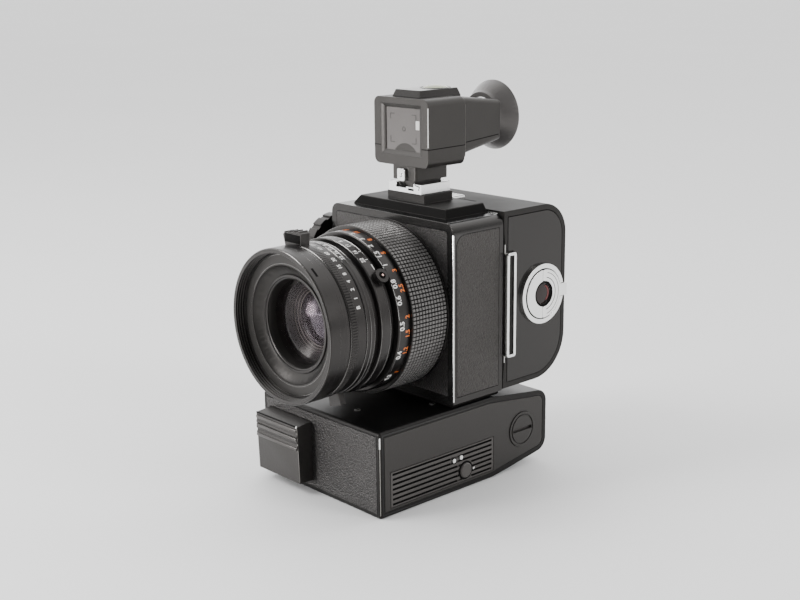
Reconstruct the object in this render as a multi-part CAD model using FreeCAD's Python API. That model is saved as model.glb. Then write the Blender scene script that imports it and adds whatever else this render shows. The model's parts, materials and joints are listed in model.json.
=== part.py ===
import FreeCAD, Part
import math
import os

# Medium format film camera on an electric drive base, in millimetres.
# Origin: mouth of the tripod socket, in the middle of the base's underside.
# +Z is up, the lens looks along -Y, and +X is the side with the film key.

# Fits and walls
run_gap = 0.05
loose_gap = 0.3
seat_gap = 0.1
case_wall = 3.0
grain_depth = 0.7

# Drive base
base_width = 92.0
base_front = -60.0
base_flat_end = 16.0
base_rear = 59.5
base_height = 44.5
base_rear_low = 6.6
base_rear_fall = 5.3
base_rim = 3.0
base_ledge = 2.0
base_cover_depth = 2.8
base_rear_radius = 7.0
base_front_radius = 1.5
base_grain_rim = 2.5
tripod_radius = 4.76
tripod_depth = 5.5
tripod_bush_radius = 8.0
tripod_bush_height = 6.1

# Battery cassette, with five cells side by side
cell_count = 5
cell_radius = 6.95
cell_pitch = 14.15
cell_length = 49.0
cell_nub_half = 2.5
cell_nub_length = 1.4
door_low = 4.5
door_height = 18.0
door_middle_y = -17.25
door_thickness = 3.0
door_end_wall = 0.4
groove_count = 7
groove_width = 1.1
groove_depth = 0.9
tray_height = 6.5
tray_inner_x = -17.0
button_radius = 4.0
button_y = -2.0
button_z = 10.0
button_travel = 1.0
button_stand = 1.0
lamp_radius = 1.1
lamp_spots = ((-10.0, 17.1), (-5.0, 17.6))

# Coin-slot cap and motor at the back of the base
coin_y = 40.3
coin_z = 21.5
coin_radius = 9.5
coin_face_radius = 7.6
coin_stand = 0.5
coin_slot_width = 1.8
coin_slot_depth = 1.3
coin_slot_margin = 0.4
coin_groove_width = 0.7
coin_groove_depth = 0.6
coin_shaft_length = 4.0
motor_radius = 12.5
motor_length = 48.0
motor_y = 39.0
motor_z = 23.5
motor_left = -36.0

# Release plate on the front of the base
plate_left = -40.0
plate_width = 34.0
plate_low = 5.8
plate_drop = 8.1
plate_stand = 9.3
plate_lean = 0.9
plate_insert = 1.0
plate_travel = 2.0
ridge_radius = 1.1
ridge_drops = (5.0, 8.0, 10.8)

# Camera body
riser_height = 2.0
body_width = 92.0
body_front = -10.5
body_depth = 35.5
body_height = 92.0
body_top_radius = 5.0
body_front_rim = 4.0
gate_size = 56.0
panel_front_gap = 2.5
panel_rear_gap = 3.0
panel_edge_gap = 3.5
panel_radius = 5.5
lens_drop = 46.5

# Top plate and accessory shoe
top_half_foot = 35.0
top_half_crest = 32.0
top_front_foot = -4.5
top_front_crest = -1.7
top_height = 4.5
block_half = 13.8
block_front = 1.0
block_rear = 21.0
block_height = 4.5
shoe_half = 12.1
shoe_front = 0.4
shoe_rear = 21.0
shoe_height = 5.0
shoe_floor = 1.2
shoe_slot_half = 9.3
shoe_slot_height = 2.1
shoe_mouth_half = 6.25

# Winding knob on the left side
knob_y = -2.5
knob_rise = 19.0
knob_radius = 20.0
knob_hub_radius = 11.0
knob_stand = 10.0
knob_rim_width = 6.5
knob_shaft_radius = 3.0
knob_groove_count = 16
knob_groove_width = 2.6
knob_groove_depth = 0.8
knob_shaft_depth = 9.0
knob_dish_rim = 3.5
knob_dish_depth = 1.2
knob_boss_radius = 4.5

# Lens, as stations along the axis and radii
barrel_bore = 31.0
barrel_wall = 2.1
ring_seat_wall = 3.0
ring_wall = 3.95
flange_stand = 0.4
flange_step = 3.4
flange_front = -11.4
tube_wall = 2.35
spigot_wall = 2.0
tube_front = -40.0
focus_wall = 7.45
focus_front = -34.2
grip_rows = 11
grip_groove = 0.84
grip_depth = 0.65
focus_sleeve_wall = 1.45
scale_front = -41.5
scale_wall = 3.8
barrel_step = -42.2
barrel_step_wall = 6.4
depth_rear = -45.0
depth_front = -51.0
depth_seat_wall = 4.0
depth_wall = 4.0
groove_front = -54.0
groove_wall = 5.5
aperture_front = -59.2
shutter_rear = -59.5
shutter_front = -69.4
barrel_front = -69.5
barrel_rear = 2.0
bezel_rear = -69.7
bezel_front = -82.0
bezel_stand = 0.5
bezel_lip_wall = 2.3
bezel_well = -76.6
bezel_back = -56.8
bezel_throat_radius = 13.0
name_seat_step = 0.8
name_inner_radius = 29.3
name_hole_radius = 22.5
glass_radius = 21.3
glass_edge_front = -68.3
glass_edge_rear = -63.8
glass_apex = -73.6
shutter_lug_angle = 96.5
shutter_lug_half = 9.3
shutter_lug_height = 7.2
shutter_lug_front = -69.2
shutter_lug_rear = -63.8
shutter_lug_teeth = 4
aperture_lug_angle = -73.5
aperture_lug_half = 6.0
aperture_lug_height = 6.0
sync_angle = 37.0
sync_y = -45.4
sync_radius = 3.6
sync_stand = 3.0
sync_bore = 1.75
sync_bore_depth = 3.0

# Iris in the barrel
blade_count = 5
blade_travel = 22.0
aperture_travel = 60.0
iris_open_radius = 6.3
blade_outer_radius = 11.6
blade_thickness = 0.2
blade_pitch = 0.4
blade_span = 165.0
pivot_radius = 14.0
pivot_pin_radius = 0.8
pivot_eye_radius = 1.9
drive_arm = 3.8
drive_pin_radius = 0.5
drive_web = 1.2
iris_plate_front = -52.0
iris_plate_thickness = 2.0
iris_plate_hole = 7.0
cam_rear = -55.0
cam_thickness = 1.4
cam_hole = 11.0
cam_slot_half = 0.65
cam_arm_angle = -60.0
cam_arm_half = 4.0

# Rear lens cell
cell_front = -20.0
cell_neck_radius = 26.5
cell_rear = 13.0
cell_wall = 4.4
rear_glass_front = 4.0
rear_glass_bulge = 1.6

# Film magazine
seam_gap = 0.3
magazine_depth = 47.7
magazine_width = 92.0
magazine_lift = 2.5
magazine_height = 93.0
magazine_top_radius = 17.0
magazine_heel_radius = 23.0
magazine_wall = 3.0
magazine_cover_gap = 0.3
front_wall = 3.0
slide_thickness = 0.5
slide_height = 62.0
slide_length = 78.0
slide_set_back = 0.7
handle_below = 28.0
handle_above = 27.0
handle_front = 25.6
handle_depth = 6.5
handle_stand = 2.8
handle_wire = 1.6
key_y = 53.7
key_rise = 1.2
key_radius = 15.9
key_ring_width = 2.4
key_plate_height = 0.7
key_ring_height = 1.9
bow_outer_radius = 12.9
bow_inner_radius = 6.8
bow_thickness = 1.6
bow_tab_half = 3.3
bow_tab_reach = 18.0
key_window_radius = 5.6
key_stem_radius = 4.0
lever_gap = 1.5
lever_thickness = 2.5
lever_clear = 1.4
spool_y = 55.0
spool_below = 23.0
spool_above = 25.0
spool_length = 65.0
spool_flange_radius = 12.6
spool_flange = 1.2
spool_core_radius = 5.8
spool_socket_radius = 2.6
spool_stub_length = 4.0
insert_plate = 2.0
insert_cover = 2.6
insert_front = 33.0
insert_rear = 68.0
insert_below = 37.0
insert_above = 39.0
insert_radius = 12.0
roller_radius = 2.5
pressure_size = 60.0
pressure_thickness = 1.4
pressure_gap = 0.2
rail_depth = 2.6
rail_height = 3.0
rail_inset = 6.0
crank_radius = 9.5
crank_height = 3.2
crank_arm_length = 17.0
crank_arm_half = 3.4
crank_shaft_radius = 2.5
catch_half = 6.0
catch_front = 29.0
catch_length = 9.0
catch_height = 2.4

# Viewfinder
foot_half = 9.0
foot_front = 0.0
foot_rear = 22.5
foot_lift = 1.5
foot_height = 7.6
finder_half = 20.0
finder_front = -2.0
finder_rear = 23.5
finder_height = 34.1
finder_radius = 3.5
finder_wall = 2.2
finder_front_wall = 4.4
window_frame_half = 15.0
window_frame_rise = 5.4
window_frame_height = 25.5
window_frame_depth = 1.8
window_half = 12.6
window_rise = 7.3
window_height = 21.7
window_thickness = 1.0
window_lap = 1.4
collar_half = 18.3
collar_length = 2.5
collar_rise = 1.6
collar_drop = 0.5
tube_rear = 55.7
tube_half_front = 15.0
tube_half_rear = 14.4
tube_rise_front = 3.4
tube_rise_rear = 8.9
tube_drop_front = 0.7
tube_drop_rear = 4.2
split_rise_front = 9.4
split_rise_rear = 12.1
cap_half_foot = 10.3
cap_half_crest = 8.9
cap_front = 1.8
cap_rear = 30.5
cap_height = 3.6
level_radius = 7.2
level_y = 22.5
level_rise = 1.3
eye_rise = 20.4
eye_lens_radius = 9.4
eye_lens_thickness = 3.5
cup_length = 10.5
cup_neck_radius = 12.6
cup_lip_radius = 18.6
cup_wall = 1.3
lock_half = 2.7
lock_x = -0.5
lock_lift = 1.1
lock_height = 6.4
lock_thickness = 1.6

# Places that follow from the sizes above
base_half = base_width / 2
base_rear_high = base_height - base_rear_fall
plate_high = base_height - plate_drop
body_half = body_width / 2
magazine_half = magazine_width / 2
body_low = base_height + riser_height
body_high = body_low + body_height
body_rear = body_front + body_depth
axis_z = body_high - lens_drop
knob_z = axis_z + knob_rise
door_low_y = door_middle_y - cell_count * cell_pitch / 2 - door_end_wall
door_high_y = door_middle_y + cell_count * cell_pitch / 2 + door_end_wall
door_high = door_low + door_height
cell_z = door_low + door_height / 2
cover_inner_x = base_half - base_cover_depth
plate_right = plate_left + plate_width
shoe_low = body_high + top_height + block_height
shoe_high = shoe_low + shoe_height
tongue_low = shoe_low + shoe_floor + seat_gap
tongue_high = shoe_low + shoe_floor + shoe_slot_height - seat_gap
barrel_radius = barrel_bore + barrel_wall
barrel_step_radius = barrel_bore + barrel_step_wall
groove_radius = barrel_bore + groove_wall
depth_seat_radius = barrel_bore + depth_seat_wall
depth_radius = depth_seat_radius + depth_wall
sync_top_radius = depth_radius + sync_stand
ring_seat_radius = barrel_bore + ring_seat_wall
ring_bore = ring_seat_radius + run_gap
ring_radius = ring_bore + ring_wall
shutter_lug_radius = ring_radius + shutter_lug_height
aperture_lug_radius = ring_radius + aperture_lug_height
bezel_radius = ring_radius + bezel_stand
bezel_lip_radius = bezel_radius - bezel_lip_wall
tube_bore = barrel_radius + run_gap
tube_radius = tube_bore + tube_wall
spigot_radius = tube_radius + spigot_wall
focus_bore = tube_radius + run_gap
focus_sleeve_radius = focus_bore + focus_sleeve_wall
scale_radius = focus_sleeve_radius + scale_wall
focus_radius = focus_bore + focus_wall
flange_radius = focus_radius + flange_stand
flange_spigot = flange_radius - flange_step
name_seat_radius = bezel_lip_radius - name_seat_step
magazine_front = body_rear + seam_gap
magazine_rear = magazine_front + magazine_depth
magazine_low = base_height + magazine_lift
magazine_high = magazine_low + magazine_height
cover_x = magazine_half - insert_cover
lever_x = cover_x - lever_gap - lever_thickness
insert_half = lever_x - lever_clear - insert_plate
slide_front = magazine_front + slide_set_back
slide_low = axis_z - slide_height / 2
slide_right = magazine_half + seat_gap
handle_rear = handle_front + handle_depth
handle_low = axis_z - handle_below
handle_high = axis_z + handle_above
insert_clear = handle_rear + loose_gap
cavity_front = magazine_front + front_wall
key_z = axis_z + key_rise
spool_low_z = axis_z - spool_below
spool_high_z = axis_z + spool_above
insert_low = axis_z - insert_below
insert_high = axis_z + insert_above
gate_half = gate_size / 2
glass_bore = glass_radius + seat_gap
barrel_thread = barrel_bore - run_gap
pivot_step = 360.0 / blade_count
foot_low = shoe_high + foot_lift
foot_high = foot_low + foot_height
finder_high = foot_high + finder_height
window_frame_low = foot_high + window_frame_rise
window_frame_high = window_frame_low + window_frame_height
window_low = foot_high + window_rise
window_high = window_low + window_height
collar_low = foot_high + collar_rise
collar_high = finder_high - collar_drop
tube_low_front = foot_high + tube_rise_front
tube_low_rear = foot_high + tube_rise_rear
tube_high_front = finder_high - tube_drop_front
tube_high_rear = finder_high - tube_drop_rear
split_front = foot_high + split_rise_front
split_rear = foot_high + split_rise_rear
eye_z = foot_high + eye_rise
lock_low = shoe_high + lock_lift
lock_high = lock_low + lock_height


def point(x, y, z):
    """Return a point or direction."""
    return FreeCAD.Vector(x, y, z)


def block(x0, x1, y0, y1, z0, z1):
    """Return a box between two corners."""
    return Part.makeBox(x1 - x0, y1 - y0, z1 - z0, point(x0, y0, z0))


def rod_x(radius, x0, x1, y, z):
    """Return a round rod along X."""
    return Part.makeCylinder(radius, x1 - x0, point(x0, y, z), point(1, 0, 0))


def rod_y(radius, y0, y1, x=0.0, z=axis_z):
    """Return a round rod along Y."""
    return Part.makeCylinder(radius, y1 - y0, point(x, y0, z), point(0, 1, 0))


def rod_z(radius, z0, z1, x, y):
    """Return a round rod along Z."""
    return Part.makeCylinder(radius, z1 - z0, point(x, y, z0), point(0, 0, 1))


def turned(outline, z=axis_z):
    """Return the solid that an outline of (y, radius) corners turns about an axis along Y."""
    corners = [point(0, y, z + radius) for y, radius in outline]
    wire = Part.makePolygon(corners + corners[:1])
    return Part.Face(wire).revolve(point(0, 0, z), point(0, 1, 0), 360)


def prism_x(outline, x0, x1):
    """Return the prism along X of an outline of (y, z) corners."""
    corners = [point(x0, y, z) for y, z in outline]
    wire = Part.makePolygon(corners + corners[:1])
    return Part.Face(wire).extrude(point(x1 - x0, 0, 0))


def lofted(sections):
    """Return the straight-sided loft through rectangles (axis, place, half width or range ...)."""
    wires = [Part.makePolygon(corners + corners[:1]) for corners in sections]
    return Part.makeLoft(wires, True, True)


def along(edge, direction):
    """Say whether a straight edge runs along a direction."""
    if edge.Curve.TypeId != "Part::GeomLine":
        return False
    run = edge.Vertexes[-1].Point.sub(edge.Vertexes[0].Point)
    return run.Length > 0 and run.cross(direction).Length < 1e-6 * run.Length


def rounded(shape, radius, direction, wanted=lambda middle: True):
    """Return the shape with the wanted straight edges along a direction rounded."""
    edges = [e for e in shape.Edges if along(e, direction) and wanted(e.CenterOfMass)]
    return shape.makeFillet(radius, edges)


def joined(shapes):
    """Return one solid made of overlapping or touching shapes."""
    first = shapes[0]
    return first.fuse(shapes[1:]).removeSplitter()


def around_axis(shape, angle, z=axis_z):
    """Turn a shape about the lens axis, counter-clockwise as seen from the front."""
    turned_shape = shape.copy()
    turned_shape.rotate(point(0, 0, z), point(0, -1, 0), angle)
    return turned_shape


along_x = point(1, 0, 0)
along_y = point(0, 1, 0)
along_z = point(0, 0, 1)


def base_prism():
    """Return the base as seen from the side: flat in front, tapering at the back."""
    outline = [
        (base_front, 0.0),
        (base_flat_end, 0.0),
        (base_rear, base_rear_low),
        (base_rear, base_rear_high),
        (base_flat_end, base_height),
        (base_front, base_height),
    ]
    solid = prism_x(outline, -base_half, base_half)
    return rounded(solid, base_rear_radius, along_x, lambda m: m.y > base_rear - 1)


def base_solid():
    """Return the outside of the drive base, with its front edges eased."""
    solid = base_prism()
    solid = rounded(solid, base_front_radius, along_x, lambda m: m.y < base_front + 1)
    return rounded(solid, base_front_radius, along_z, lambda m: m.y < base_front + 1)


def inset_prism(solid, side_x, inset, x0, x1):
    """Return a prism along X whose outline is a side of a solid, drawn in by an inset."""
    side = [f for f in solid.Faces if abs(f.CenterOfMass.x - side_x) < 0.01]
    outline = max(side, key=lambda f: f.Area).OuterWire
    drawn_in = outline.makeOffset2D(-inset)
    face = Part.Face(drawn_in)
    face.translate(point(x0 - side_x, 0, 0))
    return face.extrude(point(x1 - x0, 0, 0))


def base_housing():
    """Return the cast case of the base, with the bay for the battery cassette."""
    outside = base_solid()
    plain = base_prism()
    inner = base_rim + base_ledge
    cavity = inset_prism(plain, base_half, inner, -base_half + case_wall, base_half)
    recess = inset_prism(plain, base_half, base_rim, cover_inner_x, base_half)
    bay_wall = 2.2
    bay = block(
        tray_inner_x - bay_wall - loose_gap,
        cover_inner_x,
        door_low_y - loose_gap - bay_wall,
        door_high_y + loose_gap + bay_wall,
        base_rim,
        door_high + loose_gap + bay_wall,
    )
    bay = bay.common(outside)
    pocket = block(
        tray_inner_x - loose_gap,
        base_half,
        door_low_y - loose_gap,
        door_high_y + loose_gap,
        door_low - loose_gap,
        door_high + loose_gap,
    )
    case = outside.cut(cavity)
    case = case.fuse([bay] + motor_saddles())
    motor_bore = rod_x(motor_radius + seat_gap, motor_left, base_half, motor_y, motor_z)
    case = case.cut([recess, pocket, motor_bore])
    case = case.cut([rod_z(tripod_bush_radius + run_gap, -1, tripod_bush_height + 1, 0, 0)])
    plate_room = block(
        plate_left - loose_gap,
        plate_right + loose_gap,
        base_front,
        base_front + plate_insert + plate_travel + loose_gap,
        plate_low - loose_gap,
        plate_high + plate_lean + loose_gap,
    )
    grain_room = block(
        -base_half + base_grain_rim,
        base_half - base_grain_rim,
        base_front,
        base_front + grain_depth,
        base_grain_rim,
        base_height - base_grain_rim,
    )
    return case.cut([plate_room, grain_room]).removeSplitter()


def motor_saddles():
    """Return the ribs in the base that carry the motor."""
    outside = base_solid()
    saddles = []
    for share in (0.15, 0.75):
        x = motor_left + share * motor_length
        rib = block(x, x + 4, motor_y - motor_radius, motor_y + motor_radius + 5, base_rim, motor_z - 4)
        saddles.append(rib.common(outside))
    return saddles


def base_side_cover():
    """Return the side cover of the base, with the door's opening and the coin cap's hole."""
    cover = inset_prism(base_prism(), base_half, base_rim + seat_gap, cover_inner_x, base_half)
    opening = block(
        cover_inner_x - 1,
        base_half + 1,
        door_low_y - loose_gap,
        door_high_y + loose_gap,
        door_low - loose_gap,
        door_high + loose_gap,
    )
    hole = rod_x(coin_radius + seat_gap, cover_inner_x - 1, base_half + 1, coin_y, coin_z)
    return cover.cut([opening, hole]).common(base_solid())


def base_front_grain():
    """Return the grained sheet on the front of the base."""
    edge = base_grain_rim + seat_gap
    sheet = block(
        -base_half + edge,
        base_half - edge,
        base_front,
        base_front + grain_depth,
        edge,
        base_height - edge,
    )
    opening = block(
        plate_left - loose_gap,
        plate_right + loose_gap,
        base_front - 1,
        base_front + grain_depth + 1,
        plate_low - loose_gap,
        plate_high + plate_lean + loose_gap,
    )
    return sheet.cut(opening)


def tripod_bush():
    """Return the steel bush with the tripod socket, blind at the top."""
    bush = rod_z(tripod_bush_radius, 0, tripod_bush_height, 0, 0)
    return bush.cut(rod_z(tripod_radius, -1, tripod_depth, 0, 0))


def drive_motor():
    """Return the motor: can, end boss and shaft."""
    can = rod_x(motor_radius, motor_left, motor_left + motor_length, motor_y, motor_z)
    end = motor_left + motor_length
    boss = rod_x(motor_radius / 3, end, end + 2, motor_y, motor_z)
    shaft = rod_x(1.5, end, end + 9, motor_y, motor_z)
    return joined([can, boss, shaft])


def release_plate():
    """Return the press plate: a leaning wedge with three soft ridges."""
    rear = base_front + plate_insert
    front_high = base_front - plate_stand
    front_low = front_high + plate_lean
    outline = [
        (rear, plate_low),
        (front_low, plate_low),
        (front_high, plate_high),
        (base_front, plate_high + plate_lean),
        (rear, plate_high + plate_lean),
    ]
    plate = prism_x(outline, plate_left, plate_right)
    lean = math.atan2(plate_lean, plate_high - plate_low)
    ridges = []
    for drop in ridge_drops:
        y = front_high + drop * math.tan(lean) + ridge_radius * 0.55
        ridges.append(rod_x(ridge_radius, plate_left, plate_right, y, plate_high - drop))
    return joined([plate] + ridges)


def coin_cap():
    """Return the coin-slot cap and its short shaft."""
    x0 = cover_inner_x
    x1 = base_half + coin_stand
    cap = rod_x(coin_radius, x0, x1, coin_y, coin_z)
    groove = rod_x(coin_face_radius + coin_groove_width, x1 - coin_groove_depth, x1 + 1, coin_y, coin_z)
    groove = groove.cut(rod_x(coin_face_radius, x1 - 1, x1 + 1, coin_y, coin_z))
    slot_half = coin_face_radius - coin_slot_margin
    slot = block(
        x1 - coin_slot_depth,
        x1 + 1,
        coin_y - slot_half,
        coin_y + slot_half,
        coin_z - coin_slot_width / 2,
        coin_z + coin_slot_width / 2,
    )
    shaft = rod_x(coin_radius / 2, x0 - coin_shaft_length, x0, coin_y, coin_z)
    return joined([cap, shaft]).cut([groove, slot])


def battery_door():
    """Return the ribbed face of the battery cassette."""
    x0 = base_half - door_thickness
    door = block(x0, base_half, door_low_y, door_high_y, door_low, door_high)
    pitch = door_height / groove_count
    grooves = []
    for index in range(groove_count):
        z = door_low + pitch * (index + 0.5)
        grooves.append(
            block(
                base_half - groove_depth,
                base_half + 1,
                door_low_y + 1.2,
                door_high_y - 1.2,
                z - groove_width / 2,
                z + groove_width / 2,
            )
        )
    door = door.cut(grooves)
    seat = rod_x(button_radius + 0.9, x0, base_half, button_y, button_z)
    lamp_seats = [rod_x(lamp_radius + 0.7, x0, base_half, y, z) for y, z in lamp_spots]
    door = joined([door, seat] + lamp_seats)
    holes = [rod_x(button_radius + seat_gap, x0 - 1, base_half + 1, button_y, button_z)]
    holes += [rod_x(lamp_radius + run_gap, x0 - 1, base_half + 1, y, z) for y, z in lamp_spots]
    return door.cut(holes)


def cell_centres():
    """Return the places of the cells' axes along Y."""
    middle = (cell_count - 1) / 2
    return [door_middle_y + (index - middle) * cell_pitch for index in range(cell_count)]


def battery_tray():
    """Return the tray with a cradle for each cell, notched to pass the tripod bush."""
    x1 = base_half - door_thickness
    tray = block(tray_inner_x, x1, door_low_y, door_high_y, door_low, door_low + tray_height)
    start = tray_inner_x + 1.5
    bores = [rod_x(cell_radius + run_gap, start, x1 - 1, y, cell_z) for y in cell_centres()]
    bush_room = tripod_bush_radius + loose_gap
    notch = block(
        tray_inner_x - 1,
        bush_room,
        -bush_room,
        bush_room,
        door_low - 1,
        max(tripod_bush_height, door_low) + loose_gap,
    )
    button_room = rod_x(
        button_radius + 1, x1 - button_travel - 6.5, x1 + 1, button_y, button_z
    )
    return tray.cut(bores + [notch, button_room])


def battery_cells():
    """Return the cells, each a can with its contact."""
    start = tray_inner_x + 1.6
    cells = []
    for y in cell_centres():
        can = rod_x(cell_radius, start, start + cell_length, y, cell_z)
        end = start + cell_length
        nub = block(
            end,
            end + cell_nub_length,
            y - cell_nub_half,
            y + cell_nub_half,
            cell_z - cell_nub_half,
            cell_z + cell_nub_half,
        )
        cells.append(can.fuse(nub))
    return Part.makeCompound(cells)


def indicator_lamps():
    """Return the two lamp lenses in the door."""
    x0 = base_half - door_thickness
    lamps = [rod_x(lamp_radius, x0, base_half + 0.3, y, z) for y, z in lamp_spots]
    return Part.makeCompound(lamps)


def battery_button():
    """Return the battery test button."""
    x0 = base_half - door_thickness - button_travel
    button = rod_x(button_radius, x0, base_half + button_stand, button_y, button_z)
    rim = [e for e in button.Edges if abs(e.CenterOfMass.x - base_half - button_stand) < 0.01]
    return button.makeChamfer(0.5, rim)


def riser_plate():
    """Return the plate between the base and the body."""
    return block(-body_half + 2, body_half - 2, body_front + 1.5, body_rear - 1, base_height, body_low)


def body_outside():
    """Return the outside of the body, with its long top edges rounded."""
    solid = block(-body_half, body_half, body_front, body_rear, body_low, body_high)
    return rounded(solid, body_top_radius, along_y, lambda m: m.z > body_high - 1)


def side_recess(side, depth, gap):
    """Return the shape of a side panel: side is 1 on the right and -1 on the left."""
    inner = side * (body_half - depth)
    outer = side * body_half
    panel = block(
        min(inner, outer),
        max(inner, outer),
        body_front + panel_front_gap + gap,
        body_rear - panel_rear_gap - gap,
        body_low + panel_edge_gap + gap,
        body_high - panel_edge_gap - body_top_radius / 2 - gap,
    )
    return rounded(panel, panel_radius, along_x, lambda m: m.y < 0 and m.z > axis_z)


def body_shell():
    """Return the body casting: walls, lens throat, film gate and recesses."""
    shell = body_outside()
    wall = case_wall + 0.5
    room = block(
        -body_half + wall,
        body_half - wall,
        body_front + wall,
        body_rear - case_wall,
        body_low + wall,
        body_high - wall,
    )
    throat = rod_y(spigot_radius + run_gap, body_front - 1, body_front + wall + 1)
    gate = block(
        -gate_half,
        gate_half,
        body_rear - case_wall - 1,
        body_rear + 1,
        axis_z - gate_half,
        axis_z + gate_half,
    )
    rim = body_front_rim
    front_recess = block(
        -body_half + rim,
        body_half - rim,
        body_front,
        body_front + grain_depth,
        body_low + rim,
        body_high - rim,
    )
    front_recess = rounded(front_recess, 2.0, along_y, lambda m: m.z > axis_z)
    shaft_hole = rod_x(knob_shaft_radius + run_gap, -body_half - 1, -body_half + wall + 1, knob_y, knob_z)
    sides = [side_recess(1, grain_depth, 0), side_recess(-1, grain_depth, 0)]
    return shell.cut([room, throat, gate, front_recess, shaft_hole] + sides)


def body_front_grain():
    """Return the grained sheet on the front of the body, cut round the lens flange."""
    edge = body_front_rim + seat_gap
    sheet = block(
        -body_half + edge,
        body_half - edge,
        body_front,
        body_front + grain_depth,
        body_low + edge,
        body_high - edge,
    )
    sheet = rounded(sheet, 2.0, along_y, lambda m: m.z > axis_z)
    return sheet.cut(rod_y(flange_spigot + seat_gap, body_front - 1, body_front + 2))


def side_panels():
    """Return the two grained side panels of the body."""
    right = side_recess(1, grain_depth, seat_gap)
    left = side_recess(-1, grain_depth, seat_gap)
    hole = rod_x(knob_shaft_radius + 1, -body_half - 1, -body_half + 2, knob_y, knob_z)
    return Part.makeCompound([right, left.cut(hole)])


def rectangle_z(half, front, rear, z):
    """Return the corners of a level rectangle."""
    return [point(-half, front, z), point(half, front, z), point(half, rear, z), point(-half, rear, z)]


def top_plate():
    """Return the raised top plate with the block under the accessory shoe."""
    crest = body_high + top_height
    plate = lofted(
        [
            rectangle_z(top_half_foot, top_front_foot, body_rear, body_high),
            rectangle_z(top_half_crest, top_front_crest, body_rear, crest),
        ]
    )
    pedestal = block(-block_half, block_half, block_front, block_rear, crest, shoe_low)
    return joined([plate, pedestal])


def accessory_shoe():
    """Return the chrome shoe: a floor, a slot and two lips, with a stop in front."""
    shoe = block(-shoe_half, shoe_half, shoe_front, shoe_rear, shoe_low, shoe_high)
    floor = shoe_low + shoe_floor
    slot_top = floor + shoe_slot_height
    slot = block(-shoe_slot_half, shoe_slot_half, shoe_front + 1, shoe_rear + 1, floor, slot_top)
    half = shoe_mouth_half
    mouth = block(-half, half, shoe_front - 1, shoe_rear + 1, slot_top - 0.01, shoe_high + 1)
    return shoe.cut([slot, mouth])


def winding_knob():
    """Return the winding knob with its grip grooves, hub and shaft."""
    x_face = -body_half - knob_stand
    rim = rod_x(knob_radius, x_face, x_face + knob_rim_width, knob_y, knob_z)
    hub = rod_x(knob_hub_radius, x_face + 1, -body_half - loose_gap, knob_y, knob_z)
    shaft = rod_x(knob_shaft_radius, -body_half - 1, -body_half + knob_shaft_depth, knob_y, knob_z)
    dish = rod_x(knob_radius - knob_dish_rim, x_face - 1, x_face + knob_dish_depth, knob_y, knob_z)
    boss = rod_x(knob_boss_radius, x_face + knob_dish_depth / 2, x_face + 2, knob_y, knob_z)
    cuts = [dish]
    for index in range(knob_groove_count):
        groove = block(
            x_face - 1,
            x_face + knob_rim_width + 1,
            knob_y + knob_radius - knob_groove_depth,
            knob_y + knob_radius + 1,
            knob_z - knob_groove_width / 2,
            knob_z + knob_groove_width / 2,
        )
        groove.rotate(point(0, knob_y, knob_z), along_x, 360.0 * index / knob_groove_count)
        cuts.append(groove)
    return joined([joined([rim, hub, shaft]).cut(cuts), boss])


def lens_flange():
    """Return the fixed flange and the tube that the focusing ring turns on."""
    seat = body_front + grain_depth
    spigot_rear = body_front + case_wall + 0.5
    return turned(
        [
            (tube_front, tube_bore),
            (tube_front, tube_radius),
            (flange_front, tube_radius),
            (flange_front, flange_radius),
            (body_front, flange_radius),
            (body_front, flange_spigot),
            (seat, flange_spigot),
            (seat, spigot_radius),
            (spigot_rear, spigot_radius),
            (spigot_rear, tube_bore),
        ]
    )


def focus_ring():
    """Return the focusing ring, its grip in rows, with the sleeve that carries the distance scale."""
    rear = flange_front - loose_gap
    pitch = (rear - focus_front) / grip_rows
    root = focus_radius - grip_depth
    outline = [
        (focus_front, root),
        (focus_front, focus_sleeve_radius),
        (scale_front, focus_sleeve_radius),
        (scale_front, focus_bore),
        (rear, focus_bore),
        (rear, root),
    ]
    for row in range(grip_rows):
        start = rear - pitch * row
        outline.append((start - grip_groove / 2, focus_radius))
        outline.append((start - pitch + grip_groove / 2, focus_radius))
        if row < grip_rows - 1:
            outline.append((start - pitch, root))
    return turned(outline)


def distance_scale():
    """Return the ring with the distance figures."""
    edge = 0.6
    return turned(
        [
            (scale_front, focus_sleeve_radius),
            (scale_front, scale_radius - edge),
            (scale_front + edge, scale_radius),
            (focus_front, scale_radius),
            (focus_front, focus_sleeve_radius),
        ]
    )


def lens_barrel():
    """Return the barrel that slides in the flange tube and carries the front rings."""
    barrel = turned(
        [
            (barrel_rear, barrel_bore),
            (barrel_rear, barrel_radius),
            (barrel_step, barrel_radius),
            (barrel_step, barrel_step_radius),
            (depth_rear, barrel_step_radius),
            (depth_rear, depth_seat_radius),
            (depth_front, depth_seat_radius),
            (depth_front, groove_radius),
            (groove_front, groove_radius),
            (groove_front, ring_seat_radius),
            (barrel_front, ring_seat_radius),
            (barrel_front, barrel_bore),
        ]
    )
    return barrel.cut(cam_window())


def sector_y(outer, inner, y0, y1, angle0, angle1):
    """Return a part of a ring round the lens axis between two angles from +X."""
    span = angle1 - angle0
    ring = Part.makeCylinder(outer, y1 - y0, point(0, y1, axis_z), point(0, -1, 0), span)
    ring = ring.cut(rod_y(inner, y0 - 1, y1 + 1))
    start = sector_start(y0, y1, span, outer)
    ring.rotate(point(0, 0, axis_z), point(0, -1, 0), angle0 - start)
    return ring


def sector_start(y0, y1, span, outer):
    """Return the angle from +X at which an unturned part cylinder along -Y begins."""
    probe = Part.makeCylinder(outer, y1 - y0, point(0, y1, axis_z), point(0, -1, 0), 1.0)
    middle = probe.CenterOfMass
    return math.degrees(math.atan2(middle.z - axis_z, middle.x)) - 0.5


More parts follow.
